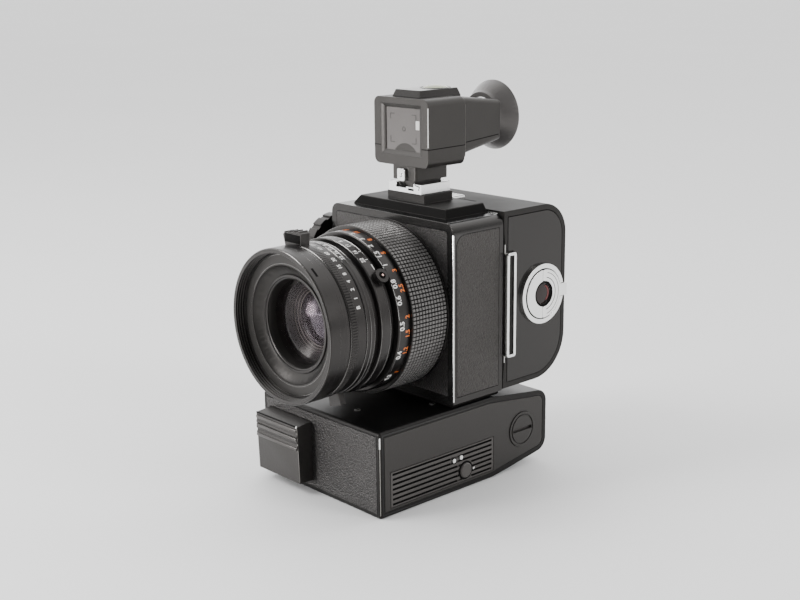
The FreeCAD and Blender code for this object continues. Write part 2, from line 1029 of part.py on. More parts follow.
def cam_window():
    """Return the slot in the barrel wall that the cam ring's arm travels in."""
    margin = 1.5
    return sector_y(
        ring_seat_radius + 1,
        barrel_bore - 1,
        cam_rear - cam_thickness - seat_gap,
        cam_rear + seat_gap,
        cam_arm_angle - cam_arm_half - margin,
        cam_arm_angle + cam_arm_half + aperture_travel + margin,
    )


def depth_scale():
    """Return the fixed ring with the depth-of-field lines."""
    edge = 0.5
    return turned(
        [
            (depth_rear, depth_seat_radius),
            (depth_rear, depth_radius - edge),
            (depth_rear - edge, depth_radius),
            (depth_front + edge, depth_radius),
            (depth_front, depth_radius - edge),
            (depth_front, depth_seat_radius),
        ]
    ).cut(sync_room())


def sync_rod(radius, r0, r1):
    """Return a rod that stands out from the barrel at the flash socket."""
    angle = math.radians(sync_angle)
    outward = point(math.cos(angle), 0, math.sin(angle))
    start = point(0, sync_y, axis_z) + outward * r0
    return Part.makeCylinder(radius, r1 - r0, start, outward)


def sync_room():
    """Return the seat of the flash socket in the depth scale."""
    return sync_rod(sync_radius + run_gap, barrel_step_radius + 0.2, sync_top_radius)


def sync_socket():
    """Return the flash socket."""
    socket = sync_rod(sync_radius, barrel_step_radius + 0.2, sync_top_radius)
    return socket.cut(sync_rod(sync_bore, sync_top_radius - sync_bore_depth, sync_top_radius + 1))


def aperture_ring():
    """Return the aperture ring with its small lug."""
    edge = 0.4
    rear = groove_front - 0.2
    ring = turned(
        [
            (aperture_front, ring_bore),
            (aperture_front, ring_radius - edge),
            (aperture_front + edge, ring_radius),
            (rear - edge, ring_radius),
            (rear, ring_radius - edge),
            (rear, ring_bore),
        ]
    )
    lug = sector_y(
        aperture_lug_radius,
        ring_radius - 1,
        aperture_front + 0.2,
        aperture_front + 3.6,
        aperture_lug_angle - aperture_lug_half,
        aperture_lug_angle + aperture_lug_half,
    )
    return joined([ring, lug])


def shutter_ring():
    """Return the shutter-speed ring with its toothed lug."""
    edge = 0.4
    ring = turned(
        [
            (shutter_front, ring_bore),
            (shutter_front, ring_radius - edge),
            (shutter_front + edge, ring_radius),
            (shutter_rear - edge, ring_radius),
            (shutter_rear, ring_radius - edge),
            (shutter_rear, ring_bore),
        ]
    )
    lug = sector_y(
        shutter_lug_radius,
        ring_radius - 1,
        shutter_lug_front,
        shutter_lug_rear,
        shutter_lug_angle - shutter_lug_half,
        shutter_lug_angle + shutter_lug_half,
    )
    pitch = 2 * shutter_lug_half / shutter_lug_teeth
    notches = []
    for index in range(shutter_lug_teeth + 1):
        angle = math.radians(shutter_lug_angle - shutter_lug_half + index * pitch)
        x = (shutter_lug_radius + 0.4) * math.cos(angle)
        z = axis_z + (shutter_lug_radius + 0.4) * math.sin(angle)
        notches.append(rod_y(1.5, shutter_lug_front - 1, shutter_lug_rear + 1, x, z))
    return joined([ring, lug.cut(notches)])


def front_bezel():
    """Return the front bezel: accessory lip, well and the baffle in front of the iris."""
    edge = 0.6
    seat = glass_edge_rear + seat_gap
    pocket = glass_bore + 5.6
    floor = bezel_well + 2.7
    return turned(
        [
            (bezel_front, bezel_lip_radius),
            (bezel_front, bezel_radius - edge),
            (bezel_front + edge, bezel_radius),
            (bezel_rear - edge, bezel_radius),
            (bezel_rear, bezel_radius - 1.2),
            (bezel_rear, barrel_thread),
            (bezel_back, barrel_thread),
            (bezel_back, bezel_throat_radius),
            (seat, glass_radius - 1.8),
            (seat, pocket),
            (floor, pocket),
            (floor, name_seat_radius),
            (bezel_well, name_seat_radius),
            (bezel_well, bezel_lip_radius),
        ]
    )


def name_ring():
    """Return the plain ring round the front glass, stepping down to the glass."""
    outer = name_seat_radius - seat_gap
    pocket = glass_bore + 5.5
    floor = bezel_well + 2.6
    return turned(
        [
            (bezel_well, outer),
            (bezel_well, name_inner_radius + 0.2),
            (bezel_well + 0.6, name_inner_radius),
            (bezel_well + 4.0, name_hole_radius + 2.3),
            (bezel_well + 4.7, name_hole_radius),
            (glass_edge_front, glass_bore),
            (glass_edge_rear, glass_bore),
            (glass_edge_rear, pocket),
            (floor, pocket),
            (floor, outer),
        ]
    )


def cap_height_of(radius, chord):
    """Return how far a sphere of a radius rises over a chord of half-length chord."""
    return radius - math.sqrt(radius * radius - chord * chord)


def lens_solid(edges):
    """Return the solid of revolution of a closed run of edges."""
    face = Part.Face(Part.Wire(edges))
    return face.revolve(point(0, 0, axis_z), point(0, 1, 0), 360)


def front_element():
    """Return the strongly curved front glass."""
    apex = point(0, glass_apex, axis_z)
    rim = point(0, glass_edge_front, axis_z + glass_radius)
    rise = glass_edge_front - glass_apex
    ball = (glass_radius ** 2 + rise ** 2) / (2 * rise)
    half = glass_radius / 2
    middle = point(0, glass_apex + cap_height_of(ball, half), axis_z + half)
    back_rim = point(0, glass_edge_rear, axis_z + glass_radius)
    back = point(0, glass_edge_rear, axis_z)
    return lens_solid(
        [
            Part.Arc(apex, middle, rim).toShape(),
            Part.makeLine(rim, back_rim),
            Part.makeLine(back_rim, back),
            Part.makeLine(back, apex),
        ]
    )


def rear_cell():
    """Return the cell that holds the rear glass behind the iris."""
    glass = cell_neck_radius - cell_wall
    return turned(
        [
            (cell_front, iris_plate_hole + 2),
            (cell_front, barrel_thread),
            (barrel_rear, barrel_thread),
            (barrel_rear, cell_neck_radius),
            (cell_rear, cell_neck_radius),
            (cell_rear, glass),
            (rear_glass_front - seat_gap, glass),
            (rear_glass_front - seat_gap, glass - 2),
        ]
    )


def rear_element():
    """Return the rear glass, flat in front and bulging behind."""
    radius = cell_neck_radius - cell_wall - run_gap
    front = point(0, rear_glass_front, axis_z)
    front_rim = point(0, rear_glass_front, axis_z + radius)
    back_rim = point(0, cell_rear - 1, axis_z + radius)
    back = point(0, cell_rear - 1 + rear_glass_bulge, axis_z)
    ball = (radius ** 2 + rear_glass_bulge ** 2) / (2 * rear_glass_bulge)
    half = radius / 2
    middle = point(0, back.y - cap_height_of(ball, half), axis_z + half)
    return lens_solid(
        [
            Part.makeLine(front, front_rim),
            Part.makeLine(front_rim, back_rim),
            Part.Arc(back_rim, middle, back).toShape(),
            Part.makeLine(back, front),
        ]
    )


def iris_plate():
    """Return the fixed plate with the pins that the blades turn on."""
    rear = iris_plate_front + iris_plate_thickness
    plate = rod_y(barrel_thread, iris_plate_front, rear)
    plate = plate.cut(rod_y(iris_plate_hole, iris_plate_front - 1, rear + 1))
    pins = []
    for index in range(blade_count):
        pin = rod_y(pivot_pin_radius, cam_rear + 0.2, iris_plate_front, pivot_radius, axis_z)
        pins.append(around_axis(pin, index * pivot_step))
    return joined([plate] + pins)


def iris_blade(index):
    """Return a blade: a crescent with its pivot eye and the pin that the cam ring drives."""
    rear = iris_plate_front - 0.25 - index * blade_pitch
    front = rear - blade_thickness
    crescent = sector_y(blade_outer_radius, iris_open_radius, front, rear, -8.0, blade_span)
    tip_radius = (blade_outer_radius - iris_open_radius) / 2
    tip_place = (blade_outer_radius + iris_open_radius) / 2
    tip_angle = math.radians(blade_span)
    tip = rod_y(
        tip_radius,
        front,
        rear,
        tip_place * math.cos(tip_angle),
        axis_z + tip_place * math.sin(tip_angle),
    )
    eye = rod_y(pivot_eye_radius, front, rear, pivot_radius, axis_z)
    web = block(
        tip_place,
        pivot_radius + drive_web,
        front,
        rear,
        axis_z,
        axis_z + drive_arm + drive_web,
    )
    pin = rod_y(
        drive_pin_radius, cam_rear - cam_thickness + 0.2, front, pivot_radius, axis_z + drive_arm
    )
    blade = joined([crescent, tip, eye, web, pin])
    blade = blade.cut(rod_y(pivot_pin_radius + run_gap, front - 1, rear + 1, pivot_radius, axis_z))
    return around_axis(blade, index * pivot_step)


def drive_pin_place(share):
    """Return the first blade's drive pin as the cam ring sees it, at a share of the travel."""
    blade_turn = math.radians(blade_travel * share)
    ring_turn = math.radians(aperture_travel * share)
    x = pivot_radius - drive_arm * math.sin(blade_turn)
    z = drive_arm * math.cos(blade_turn)
    radius = math.hypot(x, z)
    angle = math.atan2(z, x) - ring_turn
    return radius, angle


def cam_slot():
    """Return the cutter of the curved slot that drives the first blade."""
    rows = []
    for side in (-cam_slot_half, cam_slot_half):
        row = []
        for share in (0, 0.5, 1):
            radius, angle = drive_pin_place(share)
            reach = radius + side
            row.append(point(reach * math.cos(angle), cam_rear + 1, axis_z + reach * math.sin(angle)))
        rows.append(row)
    inner, outer = rows
    edges = [
        Part.Arc(*inner).toShape(),
        Part.makeLine(inner[-1], outer[-1]),
        Part.Arc(*outer).toShape(),
        Part.makeLine(outer[0], inner[0]),
    ]
    face = Part.Face(Part.Wire(Part.__sortEdges__(edges)))
    cutter = face.extrude(point(0, -cam_thickness - 2, 0))
    ends = []
    for share in (0, 1):
        radius, angle = drive_pin_place(share)
        x = radius * math.cos(angle)
        z = axis_z + radius * math.sin(angle)
        ends.append(rod_y(cam_slot_half, cam_rear - cam_thickness - 1, cam_rear + 1, x, z))
    return cutter.fuse(ends)


def iris_cam_ring():
    """Return the slotted ring that turns with the aperture ring and swings the blades."""
    front = cam_rear - cam_thickness
    ring = rod_y(barrel_bore - run_gap, front, cam_rear)
    slot = cam_slot()
    cuts = [rod_y(cam_hole, front - 1, cam_rear + 1)]
    for index in range(blade_count):
        cuts.append(around_axis(slot, index * pivot_step))
    arm = sector_y(
        ring_seat_radius,
        barrel_bore - 2,
        front,
        cam_rear,
        cam_arm_angle - cam_arm_half,
        cam_arm_angle + cam_arm_half,
    )
    return joined([ring.cut(cuts), arm])


def magazine_solid():
    """Return the outside of the magazine, with its two rounded rear corners."""
    solid = block(
        -magazine_half, magazine_half, magazine_front, magazine_rear, magazine_low, magazine_high
    )
    solid = rounded(
        solid, magazine_top_radius, along_x, lambda m: m.y > magazine_rear - 1 and m.z > axis_z
    )
    return rounded(
        solid, magazine_heel_radius, along_x, lambda m: m.y > magazine_rear - 1 and m.z < axis_z
    )


def magazine_prism(inset, x0, x1):
    """Return a prism along X of the magazine's side, drawn in by an inset."""
    return inset_prism(magazine_solid(), magazine_half, inset, x0, x1)


def handle_lip(rear, gap):
    """Return the strip of the magazine's side that lies behind the dark slide's handle."""
    return block(
        cover_x - seat_gap - gap,
        magazine_half,
        cavity_front - 1,
        rear,
        handle_low - gap,
        handle_high + gap,
    )


def magazine_shell():
    """Return the magazine case: open on the right for the insert, with gate and slide slot."""
    shell = magazine_solid()
    room = magazine_prism(magazine_wall, -magazine_half + magazine_wall, magazine_half)
    room = room.cut(handle_lip(handle_rear, 0))
    gate = block(
        -gate_half, gate_half, magazine_front - 1, cavity_front + 1, axis_z - gate_half, axis_z + gate_half
    )
    slot = block(
        slide_right - slide_length - loose_gap,
        magazine_half + 1,
        slide_front - seat_gap,
        slide_front + slide_thickness + seat_gap,
        slide_low - seat_gap,
        slide_low + slide_height + seat_gap,
    )
    shaft_hole = rod_x(crank_shaft_radius + run_gap, -magazine_half - 1, 0, spool_y, spool_high_z)
    groove = block(
        -catch_half - 4,
        catch_half + 8,
        catch_front - seat_gap,
        catch_front + catch_length + seat_gap,
        magazine_high - 0.8,
        magazine_high + 1,
    )
    return shell.cut([room, gate, slot, shaft_hole, groove])


def magazine_panel():
    """Return the grained sheet on the left side of the magazine."""
    thickness = 0.5
    sheet = magazine_prism(magazine_wall, -magazine_half - thickness, -magazine_half)
    return sheet.cut(rod_x(crank_radius + 0.6, -magazine_half - 2, 0, spool_y, spool_high_z))


def magazine_catch():
    """Return the sliding catch on top of the magazine, with finger grooves."""
    low = magazine_high - 0.8
    catch = block(
        -catch_half, catch_half, catch_front, catch_front + catch_length, low, magazine_high + catch_height
    )
    catch = rounded(catch, 1.2, along_y, lambda m: m.z > magazine_high + 1)
    grooves = []
    for x in (-3.0, -1.0, 1.0, 3.0):
        grooves.append(
            block(
                x - 0.4,
                x + 0.4,
                catch_front - 1,
                catch_front + catch_length + 1,
                magazine_high + catch_height - 0.7,
                magazine_high + catch_height + 1,
            )
        )
    return catch.cut(grooves)


def dark_slide():
    """Return the thin steel sheet that covers the film gate."""
    return block(
        slide_right - slide_length,
        slide_right,
        slide_front,
        slide_front + slide_thickness,
        slide_low,
        slide_low + slide_height,
    )


def dark_slide_handle():
    """Return the loop of square wire on the end of the dark slide."""
    x0 = slide_right
    x1 = slide_right + handle_stand
    wire = handle_wire
    y0 = handle_front
    y1 = handle_rear
    outside = block(x0, x1, y0, y1, handle_low, handle_high)
    outside = rounded(outside, 1.4, along_x)
    inside = block(x0 - 1, x1 + 1, y0 + wire, y1 - wire, handle_low + wire, handle_high - wire)
    inside = rounded(inside, 0.6, along_x)
    loop = outside.cut(inside)
    lift = block(x0 - 1, x0 + 1.2, y0 + wire, y1 + 1, handle_low - 1, handle_high + 1)
    return loop.cut(lift)


def film_insert():
    """Return the film insert: outer cover, two side plates, rollers and spool stubs."""
    cover = magazine_prism(magazine_wall + magazine_cover_gap, cover_x, magazine_half)
    cover = cover.cut(handle_lip(insert_clear, magazine_cover_gap))
    plates = []
    for x in (-insert_half - insert_plate, insert_half):
        plates.append(block(x, x + insert_plate, insert_front, insert_rear, insert_low, insert_high))
    plates = [rounded(p, insert_radius, along_x, lambda m: m.y > insert_rear - 1) for p in plates]
    bars = []
    for y, z in ((insert_front + roller_radius, insert_low + roller_radius),
                 (insert_front + roller_radius, insert_high - roller_radius)):
        bars.append(rod_x(roller_radius, -insert_half, insert_half, y, z))
    web = block(-insert_half, insert_half, spool_y - 8, spool_y - 6, axis_z - 4, axis_z + 4)
    posts = []
    for y in (insert_front + 4, insert_rear - 10):
        for z in (insert_low + 12, insert_high - 12):
            posts.append(block(insert_half + insert_plate, cover_x, y - 2, y + 2, z - 2, z + 2))
    stubs = []
    gap = insert_half - spool_length / 2
    for z in (spool_low_z, spool_high_z):
        reach = gap + spool_stub_length
        stubs.append(rod_x(spool_socket_radius - seat_gap, insert_half - reach, insert_half, spool_y, z))
        stubs.append(rod_x(spool_socket_radius - seat_gap, -insert_half, -insert_half + reach, spool_y, z))
    insert = joined([cover] + plates + bars + [web] + posts + stubs)
    stem_hole = rod_x(key_stem_radius + run_gap, cover_x - 1, magazine_half + 1, key_y, key_z)
    return insert.cut(stem_hole)


def pressure_plate():
    """Return the plate that holds the film flat against the gate, with its two rails."""
    y0 = insert_clear + pressure_gap
    half = pressure_size / 2
    y1 = y0 + pressure_thickness
    reach = insert_half - seat_gap
    plate = block(-half, half, y0, y1, axis_z - half, axis_z + half)
    rails = []
    for z in (axis_z - half + rail_inset, axis_z + half - rail_inset - rail_height):
        rails.append(block(-reach, reach, y1, y1 + rail_depth, z, z + rail_height))
    return joined([plate] + rails)


def film_spool(z):
    """Return a film spool: core, two flanges and the sockets that run on the stubs."""
    half = spool_length / 2
    core = rod_x(spool_core_radius, -half, half, spool_y, z)
    flanges = [
        rod_x(spool_flange_radius, -half, -half + spool_flange, spool_y, z),
        rod_x(spool_flange_radius, half - spool_flange, half, spool_y, z),
    ]
    spool = joined([core] + flanges)
    depth = spool_stub_length + 1
    sockets = [
        rod_x(spool_socket_radius, -half - 1, -half + depth, spool_y, z),
        rod_x(spool_socket_radius, half - depth, half + 1, spool_y, z),
    ]
    return spool.cut(sockets)


def film_key():
    """Return the film key: plate, outer ring, fixed half of the grip, window ring and stem."""
    x0 = magazine_half + seat_gap
    x1 = x0 + key_plate_height
    plate = rod_x(key_radius, x0, x1, key_y, key_z)
    ring = rod_x(key_radius, x1, x0 + key_ring_height, key_y, key_z)
    ring = ring.cut(rod_x(key_radius - key_ring_width, x1 - 1, x1 + 5, key_y, key_z))
    tab_room = block(
        x1, x1 + 5, key_y, key_y + key_radius + 1, key_z - bow_tab_half - 0.3, key_z + bow_tab_half + 0.3
    )
    grip = rod_x(bow_outer_radius, x1, x1 + bow_thickness, key_y, key_z)
    grip = grip.cut(rod_x(bow_inner_radius, x1 - 1, x1 + 5, key_y, key_z))
    reach = key_radius * 2
    front_half = block(
        x1, x1 + 5, key_y - reach, key_y - bow_thickness / 2 - 0.2, key_z - reach, key_z + reach
    )
    grip = grip.common(front_half)
    collar = rod_x(key_window_radius + 0.9, x1, x1 + 1.0, key_y, key_z)
    window = rod_x(key_window_radius, x1, x1 + 2, key_y, key_z)
    stem = rod_x(key_stem_radius, lever_x, x0, key_y, key_z)
    lever = block(lever_x, lever_x + lever_thickness, key_y - 3, key_y + 3, key_z, key_z + 14)
    whole = joined([plate, ring.cut(tab_room), grip, collar.cut(window), stem, lever])
    return whole


def key_bow():
    """Return the folding half of the key, with its hinge barrels and finger tab."""
    x0 = magazine_half + seat_gap + key_plate_height + seat_gap
    x1 = x0 + bow_thickness
    bow = rod_x(bow_outer_radius, x0, x1, key_y, key_z)
    bow = bow.cut(rod_x(bow_inner_radius, x0 - 1, x1 + 1, key_y, key_z))
    bow = bow.common(block(x0, x1, key_y, key_y + 30, key_z - 30, key_z + 30))
    middle_x = (x0 + x1) / 2
    barrels = []
    for z in (key_z - bow_outer_radius + 0.2, key_z + bow_inner_radius + 0.2):
        length = bow_outer_radius - bow_inner_radius - 0.4
        barrels.append(rod_z(bow_thickness / 2, z, z + length, middle_x, key_y))
    tab_y = key_y + bow_inner_radius + 1
    tab = block(x0, x1, tab_y, key_y + bow_tab_reach, key_z - bow_tab_half, key_z + bow_tab_half)
    return joined([bow, tab] + barrels)


def magazine_crank():
    """Return the film crank: disc, folded arm with its knob, and the shaft to the spool."""
    x1 = -magazine_half - seat_gap
    x0 = x1 - crank_height
    disc = rod_x(crank_radius, x0, x1, spool_y, spool_high_z)
    arm = block(
        x0 - 1.4,
        x0,
        spool_y - crank_arm_half,
        spool_y + crank_arm_half,
        spool_high_z - crank_arm_length,
        spool_high_z + crank_radius - 1,
    )
    arm = rounded(arm, crank_arm_half - 0.2, along_x, lambda m: m.z < spool_high_z)
    knob = rod_x(2.6, x0 - 4.4, x0, spool_y, spool_high_z - crank_arm_length + 3.6)
    shaft = rod_x(crank_shaft_radius, x1, -insert_half - insert_plate - 1, spool_y, spool_high_z)
    return joined([disc, arm, knob, shaft])


def finder_foot():
    """Return the finder's foot, with the tongue that fills the accessory shoe."""
    foot = block(-foot_half, foot_half, foot_front, foot_rear, foot_low, foot_high)
    foot = rounded(foot, 1.5, along_z)
    rear = shoe_rear - 0.4
    front = shoe_front + 1 + seat_gap
    tongue = block(-shoe_slot_half + 0.15, shoe_slot_half - 0.15, front, rear, tongue_low, tongue_high)
    neck_half = shoe_mouth_half - 0.3
    neck = block(-neck_half, neck_half, front, rear, tongue_high - 0.01, foot_low)
    return joined([foot, neck, tongue])


def rectangle_y(half, low, high, y):
    """Return the corners of an upright rectangle across Y."""
    return [point(-half, y, low), point(half, y, low), point(half, y, high), point(-half, y, high)]


def finder_case():
    """Return the finder's hollow case: box, collar and tapered tube in one."""
    box = block(-finder_half, finder_half, finder_front, finder_rear, foot_high, finder_high)
    box = rounded(box, finder_radius, along_y)
    collar_rear = finder_rear + collar_length
    collar = block(-collar_half, collar_half, finder_rear - 1, collar_rear, collar_low, collar_high)
    collar = rounded(collar, finder_radius, along_y)
    tube = lofted(
        [
            rectangle_y(tube_half_front, tube_low_front, tube_high_front, collar_rear - 0.5),
            rectangle_y(tube_half_rear, tube_low_rear, tube_high_rear, tube_rear),
        ]
    )
    long_edges = [e for e in tube.Edges if abs(e.Vertexes[0].Y - e.Vertexes[-1].Y) > 10]
    tube = tube.makeFillet(2.5, long_edges)
    outside = joined([box, collar, tube])
    wall = finder_wall
    front = finder_front + finder_front_wall
    room = block(
        -finder_half + wall,
        finder_half - wall,
        front,
        finder_rear - 0.5,
        foot_high + wall,
        finder_high - wall,
    )
    bore_rear = tube_rear - eye_lens_thickness - 0.5
    bore = lofted(
        [
            rectangle_y(
                tube_half_front - wall, tube_low_front + wall, tube_high_front - wall, finder_rear - 1
            ),
            rectangle_y(tube_half_rear - wall, tube_low_rear + wall, tube_high_rear - wall, bore_rear),
        ]
    )
    eye_hole = rod_y(eye_lens_radius + run_gap, bore_rear - 1, tube_rear + 1, 0, eye_z)
    frame = block(
        -window_frame_half,
        window_frame_half,
        finder_front - 1,
        finder_front + window_frame_depth,
        window_frame_low,
        window_frame_high,
    )
    pane = block(
        -window_half - window_lap,
        window_half + window_lap,
        finder_front,
        finder_front + window_frame_depth + window_thickness,
        window_low - window_lap,
        window_high + window_lap,
    )
    view = block(-window_half, window_half, finder_front, front + 1, window_low, window_high)
    return outside.cut([room, bore, eye_hole, frame, pane, view])


def below_split():
    """Return the space under the line where the finder's two shells meet."""
    far = 100.0
    outline = [
        (finder_front - 5, split_front),
        (finder_rear + collar_length, split_front + 0.4),
        (tube_rear + 1, split_rear),
        (tube_rear + 1, foot_high - far / 10),
        (finder_front - 5, foot_high - far / 10),
    ]
    return prism_x(outline, -far, far)


def finder_lower_shell():
    """Return the finder's lower shell."""
    return finder_case().common(below_split())


def finder_upper_shell():
    """Return the finder's upper shell, seated for the level's cap."""
    return finder_case().cut(below_split())


def finder_window():
    """Return the finder's front window."""
    y0 = finder_front + window_frame_depth
    gap = seat_gap
    return block(
        -window_half - window_lap + gap,
        window_half + window_lap - gap,
        y0,
        y0 + window_thickness,
        window_low - window_lap + gap,
        window_high + window_lap - gap,
    )


def finder_cap():
    """Return the raised cap that carries the spirit level."""
    crest = finder_high + cap_height
    cap = lofted(
        [
            rectangle_z(cap_half_foot, cap_front, cap_rear, finder_high),
            rectangle_z(cap_half_crest, cap_front + 1.2, cap_rear - 1.0, crest),
        ]
    )
    start = finder_rear + collar_length
    fall = (tube_high_front - tube_high_rear) / (tube_rear - start)
    wedge = prism_x(
        [
            (start + run_gap, finder_high),
            (cap_rear, finder_high),
            (cap_rear, tube_high_front - fall * (cap_rear - start)),
            (start + run_gap, tube_high_front),
        ],
        -cap_half_foot,
        cap_half_foot,
    )
    cap = joined([cap, wedge])
    return cap.cut(rod_z(level_radius + run_gap, finder_high + 1, crest + 1, 0, level_y))


def level_dome():
    """Return the bubble level: a short cylinder under a shallow dome."""
    crest = finder_high + cap_height
    body = rod_z(level_radius, finder_high + 1, crest, 0, level_y)
    ball = (level_radius ** 2 + level_rise ** 2) / (2 * level_rise)
    dome = Part.makeSphere(ball, point(0, level_y, crest + level_rise - ball))
    dome = dome.common(rod_z(level_radius, crest, crest + level_rise + 1, 0, level_y))
    return joined([body, dome])


def eyepiece_lens():
    """Return the finder's eye lens."""
    return rod_y(eye_lens_radius, tube_rear - eye_lens_thickness, tube_rear, 0, eye_z)


def eyecup():
    """Return the rubber eyecup, a flaring bell."""
    front = tube_rear
    rear = tube_rear + cup_length
    lip = cup_lip_radius
    neck = cup_neck_radius
    wall = cup_wall
    return turned(
        [
            (front, neck - 2.5),
            (front, neck),
            (front + cup_length * 0.2, neck + 0.8),
            (front + cup_length * 0.6, lip - 2.2),
            (rear - 0.6, lip),
            (rear, lip - 0.4),
            (rear, lip - wall),
            (front + cup_length * 0.6, lip - 2.2 - wall),
            (front + cup_length * 0.3, neck - 1.0),
            (front + cup_length * 0.2, neck - 2.5),
        ],
        eye_z,
    )


def finder_lock():
    """Return the small lever on the front of the finder's foot, and its pin."""
    y1 = foot_front - 0.3
    y0 = y1 - lock_thickness
    lever = block(lock_x - lock_half, lock_x + lock_half, y0, y1, lock_low, lock_high)
    lever = rounded(lever, 1.0, along_y)
    pin = rod_y(1.0, y0 - 0.4, foot_front + 2, lock_x, (lock_low + lock_high) / 2)
    return joined([lever, pin])


def lock_hole():
    """Return the hole for the lever's pin."""
    return rod_y(1.0 + run_gap, foot_front - 1, foot_front + 3, lock_x, (lock_low + lock_high) / 2)


def every_piece():
    """Return the pieces of the camera by name."""
    pieces = {
        "base_housing": base_housing(),
        "base_side_cover": base_side_cover(),
        "base_front_grain": base_front_grain(),
        "tripod_bush": tripod_bush(),
        "drive_motor": drive_motor(),
        "release_plate": release_plate(),
        "coin_cap": coin_cap(),
        "battery_door": battery_door(),
        "battery_tray": battery_tray(),
        "battery_cells": battery_cells(),
        "indicator_lamps": indicator_lamps(),
        "battery_button": battery_button(),
        "riser_plate": riser_plate(),
        "body_shell": body_shell(),
        "body_front_grain": body_front_grain(),
        "side_panels": side_panels(),
        "top_plate": top_plate(),
        "accessory_shoe": accessory_shoe(),
        "winding_knob": winding_knob(),
        "lens_flange": lens_flange(),
        "focus_ring": focus_ring(),
        "distance_scale": distance_scale(),
        "lens_barrel": lens_barrel(),
        "depth_scale": depth_scale(),
        "sync_socket": sync_socket(),
        "aperture_ring": aperture_ring(),
        "shutter_ring": shutter_ring(),
        "front_bezel": front_bezel(),
        "name_ring": name_ring(),
        "front_element": front_element(),
        "rear_cell": rear_cell(),
        "rear_element": rear_element(),
        "iris_plate": iris_plate(),
        "iris_cam_ring": iris_cam_ring(),
        "magazine_shell": magazine_shell(),
        "magazine_panel": magazine_panel(),
        "magazine_catch": magazine_catch(),
        "dark_slide": dark_slide(),
        "dark_slide_handle": dark_slide_handle(),
        "film_insert": film_insert(),
        "pressure_plate": pressure_plate(),
        "supply_spool": film_spool(spool_low_z),
        "take_up_spool": film_spool(spool_high_z),
        "film_key": film_key(),
        "key_bow": key_bow(),
        "magazine_crank": magazine_crank(),
        "finder_foot": finder_foot().cut(lock_hole()),
        "finder_lower_shell": finder_lower_shell(),
        "finder_upper_shell": finder_upper_shell(),
        "finder_window": finder_window(),
        "finder_cap": finder_cap(),
        "level_dome": level_dome(),
        "eyepiece_lens": eyepiece_lens(),
        "eyecup": eyecup(),
        "finder_lock": finder_lock(),
    }
    for index in range(blade_count):
        pieces["iris_blade_%d" % (index + 1)] = iris_blade(index)
    return pieces


def write_pieces():
    """Write one STEP file per piece and print each piece's solids."""
    os.makedirs("parts", exist_ok=True)
    for name, shape in every_piece().items():
        shape.exportStep("parts/%s.step" % name)
        print(name, len(shape.Solids), round(shape.Volume, 1), shape.isValid())


write_pieces()
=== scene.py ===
"""Looks for the medium format film camera on its electric drive base.

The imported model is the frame: the lens looks along -Y, +X is the side with the film key
and Z is up. Sizes here are in millimetres, and pieces become metres when they are made.
"""

import json
import logging
import math
from abc import ABC, abstractmethod
from collections.abc import Callable, Sequence
from dataclasses import dataclass
from enum import Enum

import bmesh
import bpy
from bmesh.types import BMesh
from bpy.types import Material
from mathutils import Matrix, Vector

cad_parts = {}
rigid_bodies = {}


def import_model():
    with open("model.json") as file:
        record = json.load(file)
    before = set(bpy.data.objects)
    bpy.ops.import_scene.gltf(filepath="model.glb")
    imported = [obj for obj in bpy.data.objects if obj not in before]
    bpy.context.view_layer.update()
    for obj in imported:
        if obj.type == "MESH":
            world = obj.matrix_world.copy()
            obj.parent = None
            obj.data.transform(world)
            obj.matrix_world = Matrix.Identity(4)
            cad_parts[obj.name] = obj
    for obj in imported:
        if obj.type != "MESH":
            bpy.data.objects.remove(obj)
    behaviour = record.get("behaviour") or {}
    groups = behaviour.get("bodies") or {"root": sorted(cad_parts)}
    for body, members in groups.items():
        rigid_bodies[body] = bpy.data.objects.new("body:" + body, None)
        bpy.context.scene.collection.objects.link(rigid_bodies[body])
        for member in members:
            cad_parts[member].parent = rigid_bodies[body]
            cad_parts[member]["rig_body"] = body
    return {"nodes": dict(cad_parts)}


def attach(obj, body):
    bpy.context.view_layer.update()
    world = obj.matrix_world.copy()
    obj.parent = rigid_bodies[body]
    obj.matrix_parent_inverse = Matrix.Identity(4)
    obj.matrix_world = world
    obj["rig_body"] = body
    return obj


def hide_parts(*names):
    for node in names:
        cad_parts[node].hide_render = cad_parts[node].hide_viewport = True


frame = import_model()

LOG = logging.getLogger("camera_looks")
MM = 0.001
LENS_Z = 92.0
WARM_GLOSS = (1.0, 0.94, 0.9, 1.0)
CRISP_ANGLE = 30.0

Colour = tuple[float, float, float]
Pair = tuple[float, float]
Place = Sequence[float]
Outline = Sequence[Pair]
Figures = Sequence[tuple[str, float]]
Lay = Callable[[Vector], Vector]


@dataclass(frozen=True)
class Signal:
    """A node's output, with which shader maths can be written as an expression."""

    tree: "Tree"
    socket: bpy.types.NodeSocket

    def out(self, name: str) -> "Signal":
        """Return another output of the same node."""
        return Signal(self.tree, self.socket.node.outputs[name])

    def maths(self, operation: str, first: "Signal | float", second: "Signal | float") -> "Signal":
        """Return the result of a Math node."""
        return self.tree.node("ShaderNodeMath", {"operation": operation}, {0: first, 1: second})

    def __add__(self, other: "Signal | float") -> "Signal":
        """Add."""
        return self.maths("ADD", self, other)

    def __mul__(self, other: "Signal | float") -> "Signal":
        """Multiply."""
        return self.maths("MULTIPLY", self, other)

    def __sub__(self, other: "Signal | float") -> "Signal":
        """Subtract from this value."""
        return self.maths("SUBTRACT", self, other)

    def __rsub__(self, other: float) -> "Signal":
        """Subtract this value from a number."""
        return self.maths("SUBTRACT", other, self)

    def __pow__(self, other: float) -> "Signal":
        """Raise to a power."""
        return self.maths("POWER", self, other)


